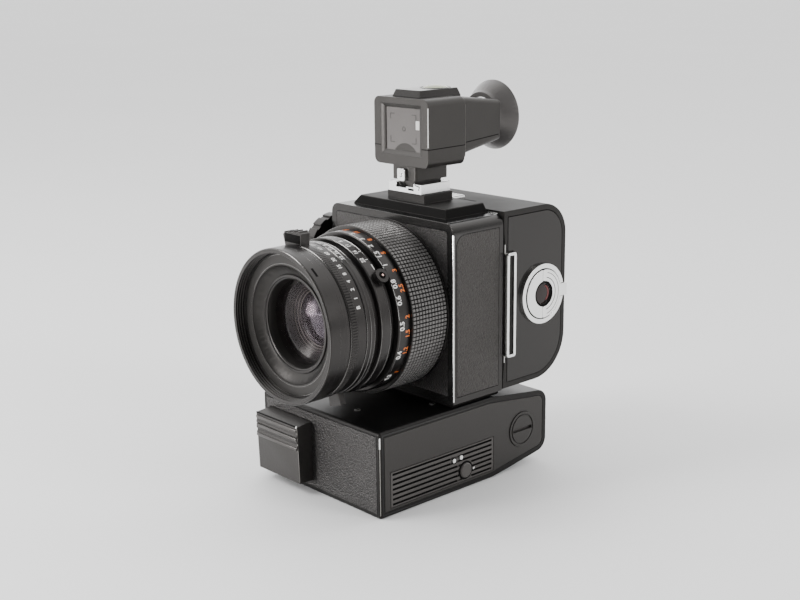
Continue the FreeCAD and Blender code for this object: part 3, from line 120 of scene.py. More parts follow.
class Tree:
    """The node tree of one material or of the world."""

    def __init__(self, owner: Material | bpy.types.World) -> None:
        """Empty the owner's tree.

        Args:
            owner: The material or the world.
        """
        owner.use_nodes = True
        self.owner = owner
        self.nodes = owner.node_tree.nodes
        self.links = owner.node_tree.links
        self.nodes.clear()

    def node(
        self, kind: str, settings: dict[str, object] | None = None,
        inputs: dict[str | int, object] | None = None, output: str | int = 0,
    ) -> Signal:
        """Add a node.

        Args:
            kind: The node's type.
            settings: Its settings.
            inputs: The values or signals of its sockets.
            output: The output that is wanted.

        Returns:
            That output.
        """
        made = self.nodes.new(kind)
        for key, value in (settings or {}).items():
            setattr(made, key, value)
        for key, value in (inputs or {}).items():
            if isinstance(value, Signal):
                self.links.new(value.socket, made.inputs[key])
            else:
                made.inputs[key].default_value = value
        return Signal(self, made.outputs[output])

    def place(self) -> Signal:
        """Return the object coordinates, in metres."""
        return self.node("ShaderNodeTexCoord", output="Object")

    def stretched(self, scale: Place) -> Signal:
        """Return the object coordinates scaled along X, Y and Z."""
        inputs = {"Vector": self.place(), "Scale": tuple(scale)}
        return self.node("ShaderNodeMapping", {"vector_type": "POINT"}, inputs)

    def noise(self, scale: float, detail: float = 3.0, where: Signal | None = None) -> Signal:
        """Return a noise from 0 to 1.

        Args:
            scale: The noise's scale per metre.
            detail: Its octaves.
            where: Its coordinates, or the object's own.

        Returns:
            The noise's value.
        """
        where = where or self.place()
        inputs = {"Vector": where, "Scale": scale, "Detail": detail, "Roughness": 0.55}
        return self.node("ShaderNodeTexNoise", {}, inputs, "Fac")

    def reach(self) -> tuple[Signal, Signal]:
        """Measure each point from the lens axis, in metres.

        Returns:
            How far from the axis it is, and where along it.
        """
        spot = self.node("ShaderNodeSeparateXYZ", {}, {0: self.place()})
        height = spot.out("Z") - LENS_Z * MM
        return (spot.out("X") ** 2.0 + height * height) ** 0.5, spot.out("Y")

    def rings(self, lines: float) -> Signal:
        """Return fine turning lines round the lens axis, from 0 to 1.

        Args:
            lines: How many lines there are in a metre.

        Returns:
            The lines' height.
        """
        across, along = self.reach()
        inputs = {"W": across + along, "Scale": lines, "Detail": 2.0}
        return self.node("ShaderNodeTexNoise", {"noise_dimensions": "1D"}, inputs, "Fac")

    def blend(self, share: Signal, first: Colour, second: Colour) -> Signal:
        """Return a colour from the first, where the share is 0, to the second, where it is 1."""
        inputs = {0: share, 6: (*first, 1.0), 7: (*second, 1.0)}
        return self.node("ShaderNodeMix", {"data_type": "RGBA"}, inputs, 2)

    def relief(self, height: Signal, depth: float, strength: float) -> Signal:
        """Return a normal bent by a height from 0 to 1, with its depth in millimetres."""
        inputs = {"Height": height, "Distance": depth * MM, "Strength": strength}
        return self.node("ShaderNodeBump", {}, inputs)

    def surface(self, inputs: dict[str | int, object]) -> Material:
        """Close the tree with the surface shader.

        Args:
            inputs: The values or signals of the shader's sockets.

        Returns:
            The material.
        """
        shader = self.node("ShaderNodeBsdfPrincipled", {}, inputs)
        end = self.nodes.new("ShaderNodeOutputMaterial")
        self.links.new(shader.socket, end.inputs["Surface"])
        return self.owner


@dataclass(frozen=True)
class Finish(ABC):
    """A surface finish: its name, its slot in the record, its colour, roughness and shine."""

    name: str
    slot: str
    colour: Colour
    roughness: float
    shine: float = 0.5

    @abstractmethod
    def make(self, tree: Tree) -> Material:
        """Return the finish's material, made in an empty tree."""

    def mottle(self, tree: Tree, share: Signal, dark: float, light: float) -> Signal:
        """Return the colour, varied from a darker tone of it to a lighter one."""
        tones = [tuple(min(1.0, part * by) for part in self.colour) for by in (dark, light)]
        return tree.blend(share, *tones)

    def coat(self, tree: Tree, inputs: dict[str | int, object]) -> Material:
        """Return the material with these inputs and a warm gloss."""
        gloss = {"Specular IOR Level": self.shine, "Specular Tint": WARM_GLOSS}
        return tree.surface(inputs | gloss)


MADE: dict[Finish, Material] = {}


def material_of(finish: Finish) -> Material:
    """Return the material of a finish, made on first use.

    Args:
        finish: The finish.

    Returns:
        Its material.
    """
    if finish not in MADE:
        MADE[finish] = finish.make(Tree(bpy.data.materials.new("look_" + finish.name)))
    return MADE[finish]


@dataclass(frozen=True)
class Painted(Finish):
    """Satin paint over a casting: a faint orange peel and dust in the gloss."""

    depth: float = 0.012

    def make(self, tree: Tree) -> Material:
        """Return the painted material.

        Args:
            tree: The empty tree to fill.

        Returns:
            The material.
        """
        peel = tree.noise(1100.0)
        cloud = tree.noise(60.0, 2.0)
        colour = self.mottle(tree, cloud, 0.8, 1.25)
        rough = cloud * 0.12 + peel * 0.08 + (self.roughness - 0.1)
        normal = tree.relief(peel, self.depth, 0.5)
        return self.coat(tree, {"Base Color": colour, "Roughness": rough, "Normal": normal})


@dataclass(frozen=True)
class Grained(Finish):
    """Leather-like covering: pebbles with creases between them, over a finer grain, with painted
    shade in the creases and a painted highlight on the pebble tops.
    """

    pebbles: float = 1500.0
    depth: float = 0.42
    crease_shade: float = 0.15
    patches: float = 0.6

    def make(self, tree: Tree) -> Material:
        """Return the grained material.

        Args:
            tree: The empty tree to fill.

        Returns:
            The material.
        """
        bend = tree.noise(self.pebbles * 0.4, 2.0)
        inputs = {"Vector": tree.place(), "Scale": self.pebbles, "Smoothness": 0.6}
        inputs["Randomness"] = 0.9
        cell = tree.node("ShaderNodeTexVoronoi", {"feature": "SMOOTH_F1"}, inputs, "Distance")
        pebble = 1.0 - cell * cell
        patchy = tree.noise(self.pebbles * 0.55, 4.0)
        height = pebble + bend * 0.3 + patchy * self.patches
        # Painted shade and highlight: darkest in the creases, lightest on the pebbles' tops, mixed
        # with patches of random tone.
        colour = self.mottle(tree, (patchy - 0.5) * 1.6 + pebble, self.crease_shade, 1.25)
        rough = (self.roughness + 0.14) - pebble * 0.12 - patchy * 0.1
        normal = tree.relief(height, self.depth, 0.9)
        return self.coat(tree, {"Base Color": colour, "Roughness": rough, "Normal": normal})


@dataclass(frozen=True)
class Turned(Finish):
    """Black anodised metal turned on a lathe, with its fine lines."""

    lines: float = 2600.0

    def make(self, tree: Tree) -> Material:
        """Return the turned material.

        Args:
            tree: The empty tree to fill.

        Returns:
            The material.
        """
        line = tree.rings(self.lines)
        dust = tree.noise(150.0)
        colour = self.mottle(tree, line, 0.75, 1.3)
        rough = dust * 0.1 + line * 0.1 + (self.roughness - 0.1)
        normal = tree.relief(line, 0.006, 0.45)
        return self.coat(tree, {"Base Color": colour, "Roughness": rough, "Normal": normal})


@dataclass(frozen=True)
class WornAndHighlit(Finish):
    """Black metal whose studs are painted grey past a radius round the lens axis: rubbed wear
    together with a painted highlight on the stud tops.
    """

    rubbed_and_highlit: Colour = (0.11, 0.107, 0.105)
    start: float = 42.6
    end: float = 42.98

    def make(self, tree: Tree) -> Material:
        """Return the material whose stud tops are rubbed and carry a painted highlight.

        Args:
            tree: The empty tree to fill.

        Returns:
            The material.
        """
        # The stud tops are blended to a lighter grey: rubbing, and a painted highlight on them.
        inputs = {0: tree.reach()[0], 1: self.start * MM, 2: self.end * MM}
        share = tree.node("ShaderNodeMapRange", {}, inputs)
        colour = tree.blend(share, self.colour, self.rubbed_and_highlit)
        rough = tree.noise(900.0) * 0.1 + (self.roughness - 0.05)
        return self.coat(tree, {"Base Color": colour, "Roughness": rough})


@dataclass(frozen=True)
class Metal(Finish):
    """Bare or plated metal with a fine brushing along X."""

    brush: Place = (60.0, 900.0, 900.0)

    def make(self, tree: Tree) -> Material:
        """Return the metal material.

        Args:
            tree: The empty tree to fill.

        Returns:
            The material.
        """
        brush = tree.noise(1.0, 4.0, tree.stretched(self.brush))
        smear = tree.noise(45.0, 2.0)
        inputs = {"Base Color": self.mottle(tree, smear, 0.9, 1.05), "Metallic": 1.0}
        inputs["Roughness"] = brush * 0.12 + smear * 0.06 + (self.roughness - 0.08)
        inputs["Normal"] = tree.relief(brush, 0.004, 0.35)
        return tree.surface(inputs)


@dataclass(frozen=True)
class Moulded(Finish):
    """Moulded plastic or rubber with a spark-eroded skin."""

    skin: float = 2200.0
    depth: float = 0.02
    sheen: float = 0.0

    def make(self, tree: Tree) -> Material:
        """Return the moulded material.

        Args:
            tree: The empty tree to fill.

        Returns:
            The material.
        """
        skin = tree.noise(self.skin, 2.0)
        rub = tree.noise(70.0, 2.0)
        inputs = {"Base Color": self.mottle(tree, rub, 0.85, 1.2), "Sheen Weight": self.sheen}
        inputs["Sheen Roughness"] = 0.4
        inputs["Roughness"] = skin * 0.1 + rub * 0.1 + (self.roughness - 0.1)
        inputs["Normal"] = tree.relief(skin, self.depth, 0.6)
        return self.coat(tree, inputs)


@dataclass(frozen=True)
class Glass(Finish):
    """Coated glass that lets some light through."""

    clear: float = 0.0
    tint: Colour = (1.0, 1.0, 1.0)
    veil: float = 1.0

    def make(self, tree: Tree) -> Material:
        """Return the glass material.

        Args:
            tree: The empty tree to fill.

        Returns:
            The material.
        """
        smear = tree.noise(90.0, 2.0)
        inputs = {"Base Color": self.mottle(tree, smear, 0.96, 1.0), "Alpha": self.veil}
        inputs["Roughness"] = smear * 0.02 + self.roughness
        inputs["Transmission Weight"] = self.clear
        inputs["Specular Tint"] = (*self.tint, 1.0)
        inputs["Specular IOR Level"] = self.shine
        return tree.surface(inputs)


@dataclass(frozen=True)
class Ink(Finish):
    """Paint filled into an engraving."""

    def make(self, tree: Tree) -> Material:
        """Return the ink material.

        Args:
            tree: The empty tree to fill.

        Returns:
            The material.
        """
        grit = tree.noise(2500.0, 2.0)
        colour = self.mottle(tree, grit, 0.9, 1.0)
        return tree.surface({"Base Color": colour, "Roughness": grit * 0.1 + self.roughness})


PAINT = Painted("black_enamel", "black_paint", (0.006, 0.006, 0.006), 0.2, 0.4)
SATIN_PAINT = Painted("satin_enamel", "black_paint", (0.012, 0.0115, 0.011), 0.5, 0.2, 0.03)
CASE_PAINT = Painted("case_enamel", "black_paint", (0.004, 0.004, 0.004), 0.36, 0.2)
FLAT_BLACK = Painted("flat_black", "black_paint", (0.003, 0.003, 0.003), 0.8, 0.1)
LEATHERETTE = Grained("leatherette", "leatherette", (0.0075, 0.0073, 0.0076), 0.38, 0.45)
FINE_GRAIN = Grained(
    "fine_grain", "fine_grain", (0.021, 0.0195, 0.0185), 0.46, 0.4, 1650.0, 0.34, 0.25, 0.9
)
ANODISED = Turned("anodised", "black_anodised", (0.007, 0.0065, 0.0065), 0.3, 0.4)
# The grip's stud tops are painted lighter: rubbing, and a painted highlight.
GRIP = WornAndHighlit("grip", "black_anodised", (0.004, 0.004, 0.004), 0.3, 0.45)
# Light metal for the thin rings along the lens rings' edges: painted highlights.
PAINTED_RING_HIGHLIGHT = Metal("ring_highlight", "black_anodised", (0.2, 0.195, 0.19), 0.22)
# Light plastic for the strips on the release plate's side and the finder's collar: painted
# highlights.
PLASTIC_HIGHLIGHT = Moulded("plastic_highlight", "black_plastic", (0.16, 0.155, 0.145), 0.3, 0.6)
RIB_PLASTIC = Moulded("rib_plastic", "grey_plastic", (0.046, 0.043, 0.041), 0.36, 0.5)
# Grey metal for the dimmer strip down the base's corner: a painted highlight.
DIM_HIGHLIGHT = Metal("dim_highlight", "chrome", (0.34, 0.33, 0.31), 0.3)
COPPER = Metal("copper", "chrome", (0.75, 0.5, 0.45), 0.3)
# PALE colours the level's bubble and also the pale patch in the finder's window, which is a
# painted glint.
PALE = Ink("pale", "window_glass", (0.62, 0.6, 0.58), 0.15)
WELL_BLACK = Turned("well_black", "black_anodised", (0.01, 0.0095, 0.009), 0.4, 0.3, 1500.0)
# The baffles are a light brown-grey, far lighter than black anodising: a painted reflection,
# standing for the glare on the glass in front of them.
BAFFLE_PAINTED_REFLECTION = Turned("baffle", "black_anodised", (0.2, 0.172, 0.156), 0.45, 0.25, 900.0)
BLACK_PLASTIC = Moulded(
    "black_plastic", "black_plastic", (0.0125, 0.0118, 0.0108), 0.42, 0.4, 900.0, 0.05
)
GREY_PLASTIC = Moulded(
    "grey_plastic", "grey_plastic", (0.016, 0.0152, 0.0145), 0.42, 0.4, 850.0, 0.08
)
RIDGE_PLASTIC = Moulded("ridge_plastic", "grey_plastic", (0.03, 0.028, 0.0265), 0.36, 0.5)
RUBBER = Moulded("rubber", "rubber", (0.06, 0.057, 0.056), 0.36, 0.5, 700.0, 0.06, 0.3)
STEEL = Metal("steel", "steel", (0.6, 0.59, 0.57), 0.3)
CHROME = Metal("chrome", "chrome", (0.86, 0.86, 0.85), 0.18)
# Bright metal for the light strips on edges and seams: painted highlights.
PAINTED_HIGHLIGHT = Metal("painted_highlight", "chrome", (0.95, 0.95, 0.93), 0.25)
BLADE = Metal("blade", "blade_steel", (0.05, 0.05, 0.053), 0.4)
BRASS = Metal("brass", "brass", (0.72, 0.55, 0.28), 0.3)
CELL = Metal("cell", "cell_metal", (0.45, 0.42, 0.36), 0.34)
LENS_GLASS = Glass(
    "lens_glass", "lens_glass", (0.01, 0.008, 0.008), 0.12, 0.7, 0.0, (1.0, 0.8, 0.92), 0.12
)
INNER_GLASS = Glass(
    "inner_glass", "lens_glass", (0.02, 0.017, 0.018), 0.05, 0.8, tint=(0.95, 0.8, 1.0)
)
WINDOW_GLASS = Glass("window_glass", "window_glass", (0.095, 0.086, 0.082), 0.04, 0.7)
LEVEL_GLASS = Glass("level_glass", "level_glass", (0.7, 0.76, 0.45), 0.02, 0.5, 0.6)
WHITE_INK = Ink("white_ink", "black_anodised", (0.85, 0.84, 0.82), 0.45)
ORANGE_INK = Ink("orange_ink", "black_anodised", (0.85, 0.2, 0.035), 0.45)
RED_WINDOW = Glass("red_window", "window_glass", (0.11, 0.02, 0.02), 0.05, 0.3)
DARK_WINDOW = Glass("dark_window", "window_glass", (0.015, 0.008, 0.007), 0.05, 0.3)
LAMP = Ink("lamp_lens", "lamp", (0.86, 0.86, 0.84), 0.2)


def cube(matrix: Matrix) -> BMesh:
    """Return a box.

    Args:
        matrix: Sizes and places a cube with sides of 1.

    Returns:
        The box.
    """
    part = bmesh.new()
    bmesh.ops.create_cube(part, size=1.0, matrix=matrix)
    return part


class Blank:
    """A mesh in the making."""

    def __init__(self, unit: float = MM) -> None:
        """Start with nothing, in a unit given in metres."""
        self.mesh, self.unit = bmesh.new(), unit

    def join(self, part: BMesh, put: Lay | None = None) -> None:
        """Add a part that was built apart.

        Args:
            part: The part, which is freed.
            put: Turns a place in the part into one on the piece.
        """
        for vert in part.verts if put else ():
            vert.co = put(vert.co)
        sheet = bpy.data.meshes.new("part")
        part.to_mesh(sheet)
        part.free()
        self.mesh.from_mesh(sheet)
        bpy.data.meshes.remove(sheet)

    def knit(self, part: BMesh) -> None:
        """Add a closed part with its faces turned outwards."""
        bmesh.ops.recalc_face_normals(part, faces=part.faces)
        self.join(part)

    def lathe(
        self, outline: Outline, centre: Pair = (0.0, LENS_Z), along: str = "y",
        steps: int = 128, closed: bool = True,
    ) -> None:
        """Turn an outline about an axis.

        Args:
            outline: Corners as (place along the axis, radius).
            centre: The axis's place across the other two directions, in X, Y, Z order.
            along: The axis: x, y or z.
            steps: The faces round the turn.
            closed: True where the outline's ends meet.
        """
        part = bmesh.new()
        axis = "xyz".index(along)
        side = 2 if axis < 2 else 0
        first, second = (index for index in range(3) if index != axis)
        middle, turn = Vector(), Vector()
        middle[first], middle[second] = centre
        turn[axis] = 1.0
        verts = []
        for place, radius in outline:
            spot = middle.copy()
            spot[axis] = place
            spot[side] += radius
            verts.append(part.verts.new(spot))
        following = verts[1:] + verts[:1] if closed else verts[1:]
        edges = [part.edges.new(pair) for pair in zip(verts, following)]
        bmesh.ops.spin(
            part, geom=verts + edges, cent=middle, axis=turn, angle=2 * math.pi, steps=steps,
            use_merge=True,
        )
        bmesh.ops.remove_doubles(part, verts=part.verts, dist=1e-4)
        self.knit(part)

    def cuboid(self, low: Place, high: Place, ease: float = 0.0) -> None:
        """Add a box, with its edges eased.

        Args:
            low: Its lowest corner.
            high: Its highest corner.
            ease: The bevel's width.
        """
        low, high = Vector(low), Vector(high)
        part = cube(Matrix.Translation((low + high) / 2) @ Matrix.Diagonal((*(high - low), 1.0)))
        if ease:
            bmesh.ops.bevel(
                part, geom=part.edges, offset=ease, offset_type="OFFSET", affect="EDGES",
                segments=2, profile=0.5, material=-1,
            )
        self.join(part)

    def bar(self, start: Place, end: Place, side: Place, size: Pair) -> None:
        """Add a bar between two points.

        Args:
            start: The middle of its first end.
            end: The middle of its other end.
            side: The direction of its width.
            size: Its width and its thickness.
        """
        first, last = Vector(start), Vector(end)
        along = last - first
        wide = Vector(side).normalized()
        deep = along.normalized().cross(wide)
        columns = Matrix((along, wide * size[0], deep * size[1])).transposed()
        self.knit(cube(Matrix.Translation((first + last) / 2) @ columns.to_4x4()))

    def disc(self, radius: float, thick: float, put: Lay) -> None:
        """Add a thin round plate laid on a surface.

        Args:
            radius: Its radius.
            thick: Its thickness, half under the surface.
            put: Lays a place of the flat sheet on the surface.
        """
        part = bmesh.new()
        bmesh.ops.create_cone(
            part, cap_ends=True, segments=32, radius1=radius, radius2=radius * 0.94, depth=thick
        )
        self.join(part, put)

    def skin(self, rings: Sequence[Sequence[Vector]], capped: bool = False) -> None:
        """Add closed rings joined by faces.

        Args:
            rings: The rings, each with the same number of points.
            capped: True where the first and last ring are filled, False where they meet.
        """
        part = bmesh.new()
        rows = [[part.verts.new(spot) for spot in ring] for ring in rings]
        for row in (rows[0], rows[-1]) if capped else ():
            part.faces.new(row)
        for row, following in zip(rows, rows[1:] if capped else rows[1:] + rows[:1]):
            for index, vert in enumerate(row):
                after = (index + 1) % len(row)
                part.faces.new((vert, row[after], following[after], following[index]))
        self.knit(part)

    def studs(self, chosen: Callable[[Vector], bool], margin: float, height: float) -> None:
        """Raise a stud on each chosen face.

        Args:
            chosen: Says by a face's middle if it gets a stud.
            margin: The groove left round each stud.
            height: How far the studs stand out.
        """
        faces = [face for face in self.mesh.faces if chosen(face.calc_center_median())]
        bmesh.ops.inset_individual(
            self.mesh, faces=faces, thickness=margin, depth=height, use_even_offset=True
        )

    def lettering(self, text: str, size: float, put: Lay) -> None:
        """Add figures, laid on a surface.

        Args:
            text: What to write.
            size: The size of the type.
            put: Lays a place of the flat sheet on the surface.
        """
        curve = bpy.data.curves.new("figures", "FONT")
        curve.body, curve.size = text, size
        curve.align_x = curve.align_y = "CENTER"
        curve.resolution_u = 3
        curve.offset = size * 0.02
        curve.extrude = 0.04
        holder = bpy.data.objects.new("figures", curve)
        sheet = bpy.data.meshes.new_from_object(holder)
        part = bmesh.new()
        part.from_mesh(sheet)
        bmesh.ops.remove_doubles(part, verts=part.verts, dist=1e-4)
        self.join(part, put)
        bpy.data.objects.remove(holder)
        bpy.data.curves.remove(curve)
        bpy.data.meshes.remove(sheet)

    def patch(self, half: Pair, put: Lay, thick: float) -> None:
        """Add a thin plate laid on a surface.

        Args:
            half: Half its width and half its height.
            put: Lays a place of the flat sheet on the surface.
            thick: Its thickness, half under the surface.
        """
        part = cube(Matrix.Diagonal((half[0] * 2, half[1] * 2, thick, 1.0)))
        flat = [e for e in part.edges if abs(e.verts[0].co.x - e.verts[1].co.x) > half[0]]
        bmesh.ops.subdivide_edges(part, edges=flat, cuts=max(1, int(half[0])))
        self.join(part, put)

    def piece(
        self, name: str, finish: Finish, body: str, replaces: Sequence[str] = (),
        sharp: float = 32.0,
    ) -> bpy.types.Object:
        """Make the piece that shows, in metres.

        Args:
            name: The piece's name.
            finish: Its finish.
            body: The body it rides on.
            replaces: The nodes it stands for.
            sharp: The angle in degrees past which an edge is crisp.

        Returns:
            The piece.
        """
        bmesh.ops.transform(self.mesh, matrix=Matrix.Scale(self.unit, 4), verts=self.mesh.verts)
        data = bpy.data.meshes.new(name)
        self.mesh.to_mesh(data)
        self.mesh.free()
        data.shade_smooth()
        data.set_sharp_from_angle(angle=math.radians(sharp))
        data.materials.append(material_of(finish))
        piece = bpy.data.objects.new(name, data)
        bpy.context.scene.collection.objects.link(piece)
        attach(piece, body)
        if replaces:
            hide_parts(*replaces)
        LOG.info("%s rides on %s in %s", name, body, finish.name)
        return piece


def dress(
    node: str, finish: Finish, ease: float = 0.0, clamp: bool = False,
    sunk: Callable[[Vector], bool] | None = None,
) -> None:
    """Show a node as a merged copy with smooth curves and eased edges.

    Args:
        node: The node's name.
        finish: Its finish.
        ease: The width of the bevel on its edges, in millimetres.
        clamp: True for a node with such short edges that the bevel must stay under them.
        sunk: Says by a face's middle, in metres, if a cover is let into it.
    """
    source = frame["nodes"][node]
    copy = Blank(1.0)
    mesh = copy.mesh
    mesh.from_mesh(source.data)
    bmesh.ops.remove_doubles(mesh, verts=mesh.verts, dist=2e-6)
    flat = math.radians(0.5)
    bmesh.ops.dissolve_limit(mesh, angle_limit=flat, verts=mesh.verts, edges=mesh.edges)
    if sunk:
        faces = [face for face in mesh.faces if sunk(face.calc_center_median())]
        bmesh.ops.inset_region(mesh, faces=faces, thickness=3.0 * MM, depth=-0.5 * MM)
    piece = copy.piece(node + "_dressed", finish, source["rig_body"], [node], CRISP_ANGLE)
    if ease:
        bevel = piece.modifiers.new("eased_edges", "BEVEL")
        bevel.width = ease * MM
        bevel.segments = 2
        bevel.limit_method = "ANGLE"
        bevel.angle_limit = math.radians(CRISP_ANGLE + 6.0)
        bevel.use_clamp_overlap = clamp
        bevel.harden_normals = True


def clothe(node: str, finish: Finish) -> None:
    """Give a node that stays as it is its finish.

    Args:
        node: The node's name.
        finish: Its finish.
    """
    slots = frame["nodes"][node].data.materials
    slots.clear()
    slots.append(material_of(finish))
    LOG.info("%s keeps its shape in %s", node, finish.name)


def on_ring(radius: float, angle: float, y: float) -> Lay:
    """Lay a flat sheet on a ring round the lens, its top towards the front.

    Args:
        radius: The ring's radius.
        angle: The sheet's middle, in degrees from +X, counter-clockwise from the front.
        y: The sheet's middle along the lens.

    Returns:
        The rule that places a point of the sheet.
    """

    def put(spot: Vector) -> Vector:
        """Place one point of the sheet.

        Args:
            spot: The point on the flat sheet.

        Returns:
            Its place on the ring.
        """
        turn = math.radians(angle) + spot.x / radius
        reach = radius + spot.z
        return Vector((reach * math.cos(turn), y - spot.y, LENS_Z + reach * math.sin(turn)))

    return put


@dataclass
class DriveBase:
    """The electric base: case, cover, release plate, battery cassette and coin cap."""

    top: float = 44.5
    cover_face: float = -46.3
    cover_back: float = -45.8
    cover_outline: Outline = (
        (-56.0, 4.0), (26.0, 4.0), (53.0, 8.4), (55.8, 10.2), (56.8, 13.0),
        (56.8, 32.6), (55.8, 35.4), (52.8, 37.2), (28.0, 40.4), (-56.0, 40.4),
    )
    screws: Outline = ((12.6, -45.0), (32.0, -11.6))
    screw_radius: float = 1.7
    corner: Pair = (45.9, -59.85)
    ridges: Place = (34.2, 29.6, 24.6)
    door_face: float = 46.0
    door_low: float = 4.5
    groove_pitch: float = 18.0 / 7.0
    groove_width: float = 1.1
    groove_ends: Pair = (-51.8, 17.3)
    seat_gaps: Sequence[Place] = ((-7.1, 3.1),) * 4 + ((-12.1, -2.9),) * 2 + ((),)
    seats: Sequence[tuple[Pair, float, float]] = (
        ((-2.0, 10.0), 4.05, 5.0),
        ((-10.0, 17.1), 1.25, 1.75),
        ((-5.0, 17.6), 1.25, 1.75),
    )

    def build(self) -> None:
        """Build every piece of the base."""
        dress("base_housing", CASE_PAINT, 0.35)
        dress("base_side_cover", GREY_PLASTIC, 0.2)
        dress("base_front_grain", LEATHERETTE)
        dress("release_plate", GREY_PLASTIC, 0.2, clamp=True)
        dress("coin_cap", GREY_PLASTIC, 0.12)
        dress("battery_door", RIB_PLASTIC, 0.15)
        dress("battery_button", RIB_PLASTIC, 0.12)
        dress("indicator_lamps", LAMP, 0.1)
        dress("battery_cells", CELL, 0.2)
        dress("riser_plate", FLAT_BLACK, 0.2)
        clothe("battery_tray", BLACK_PLASTIC)
        clothe("tripod_bush", STEEL)
        clothe("drive_motor", CELL)
        self.lid_screws()
        self.door_rings()
        self.edge_highlights()
        self.plate_details()
        self.covers()
        self.groove_shade_sheets()

    def covers(self) -> None:
        """Lay the grained covers on the base's left side and back."""
        cover = Blank()
        faces = (self.cover_face, self.cover_back)
        cover.skin([[Vector((x, y, z)) for y, z in self.cover_outline] for x in faces], True)
        cover.cuboid((-43.0, 59.2, 14.4), (43.0, 59.8, 31.4), 0.2)
        cover.piece("base_covers", LEATHERETTE, "chassis")

    def lid_screws(self) -> None:
        """Sink the small slotted screws into the base's top."""
        heads, slots = Blank(), Blank()
        top, reach = self.top, self.screw_radius
        outline = [(top - 0.2, 0.0), (top - 0.2, reach), (top + 0.12, reach)]
        outline += [(top + 0.3, reach * 0.7), (top + 0.34, 0.0)]
        for x, y in self.screws:
            heads.lathe(outline, (x, y), "z", 24, closed=False)
            slots.cuboid((x - 1.2, y - 0.2, top), (x + 1.2, y + 0.2, top + 0.36))
        heads.piece("base_screws", STEEL, "chassis")
        slots.piece("base_screw_slots", FLAT_BLACK, "chassis")

    def edge_highlights(self) -> None:
        """Draw painted highlights down the base's corner: a dim one, with a bright one at its top.
        """
        for name, finish, low, high, width in (
            ("base_corner_highlight", PAINTED_HIGHLIGHT, 36.5, 42.0, 0.6),
            ("base_corner_dim_highlight", DIM_HIGHLIGHT, 2.2, 36.4, 0.28),
        ):
            line = Blank()
            line.bar((*self.corner, low), (*self.corner, high), (1, 1, 0), (width, 0.3))
            line.piece(name, finish, "chassis")

    def plate_details(self) -> None:
        """Raise the ridges of the release plate, draw its lip, and add painted highlights on its
        corner and side edge.
        """
        ridges, lip, corner, side = Blank(), Blank(), Blank(), Blank()
        for z in self.ridges:
            ridges.cuboid((-39.7, -69.9, z - 0.9), (-6.3, -68.8, z + 0.9), 0.4)
        ridges.piece("release_ridges", RIDGE_PLASTIC, "release_plate")
        lip.cuboid((-39.7, -69.55, 36.1), (-6.9, -69.0, 36.75), 0.1)
        lip.piece("release_lip", FLAT_BLACK, "release_plate")
        corner.cuboid((-6.7, -69.66, 35.9), (-5.95, -69.0, 36.9), 0.1)
        corner.piece("release_corner_highlight", PAINTED_HIGHLIGHT, "release_plate")
        side.bar((-6.1, -69.2, 35.6), (-6.1, -68.3, 6.8), (1, 0, 0), (0.35, 0.2))
        side.piece("release_side_highlight", PLASTIC_HIGHLIGHT, "release_plate")

    def groove_shade_sheets(self) -> None:
        """Lay black sheets in the door's grooves, clear of the seats of the button and the lamps:
        painted shade in the grooves.
        """
        shade_sheets = Blank()
        deep, high = self.door_face - 0.9, self.door_face - 0.16
        half = self.groove_width / 2
        for index, seat in enumerate(self.seat_gaps):
            z = self.door_low + self.groove_pitch * (index + 0.5)
            ends = (self.groove_ends[0], *seat, self.groove_ends[1])
            for start, end in zip(ends[::2], ends[1::2]):
                shade_sheets.cuboid((deep - 0.02, start, z - half), (deep + 0.06, end, z + half))
                for side in (-half, half):
                    low, top = z + side - 0.04, z + side + 0.04
                    shade_sheets.cuboid((deep - 0.02, start, low), (high, end, top))
        shade_sheets.piece("door_groove_shade_sheets", FLAT_BLACK, "battery_cassette")

    def door_rings(self) -> None:
        """Ring the button and the lamps on the battery door, and mark the button."""
        rings, mark = Blank(), Blank()
        face = self.door_face
        for place, inner, outer in self.seats:
            outline = [(face - 0.3, inner), (face + 0.05, inner), (face + 0.05, outer)]
            rings.lathe(outline, place, "x", 32)
        rings.piece("battery_door_rings", FLAT_BLACK, "battery_cassette")
        mark.bar((face + 0.02, 3.6, 9.2), (face + 0.02, 4.6, 9.8), (0.0, 0.5, -1.0), (0.9, 0.06))
        mark.piece("battery_door_mark", WHITE_INK, "battery_cassette")


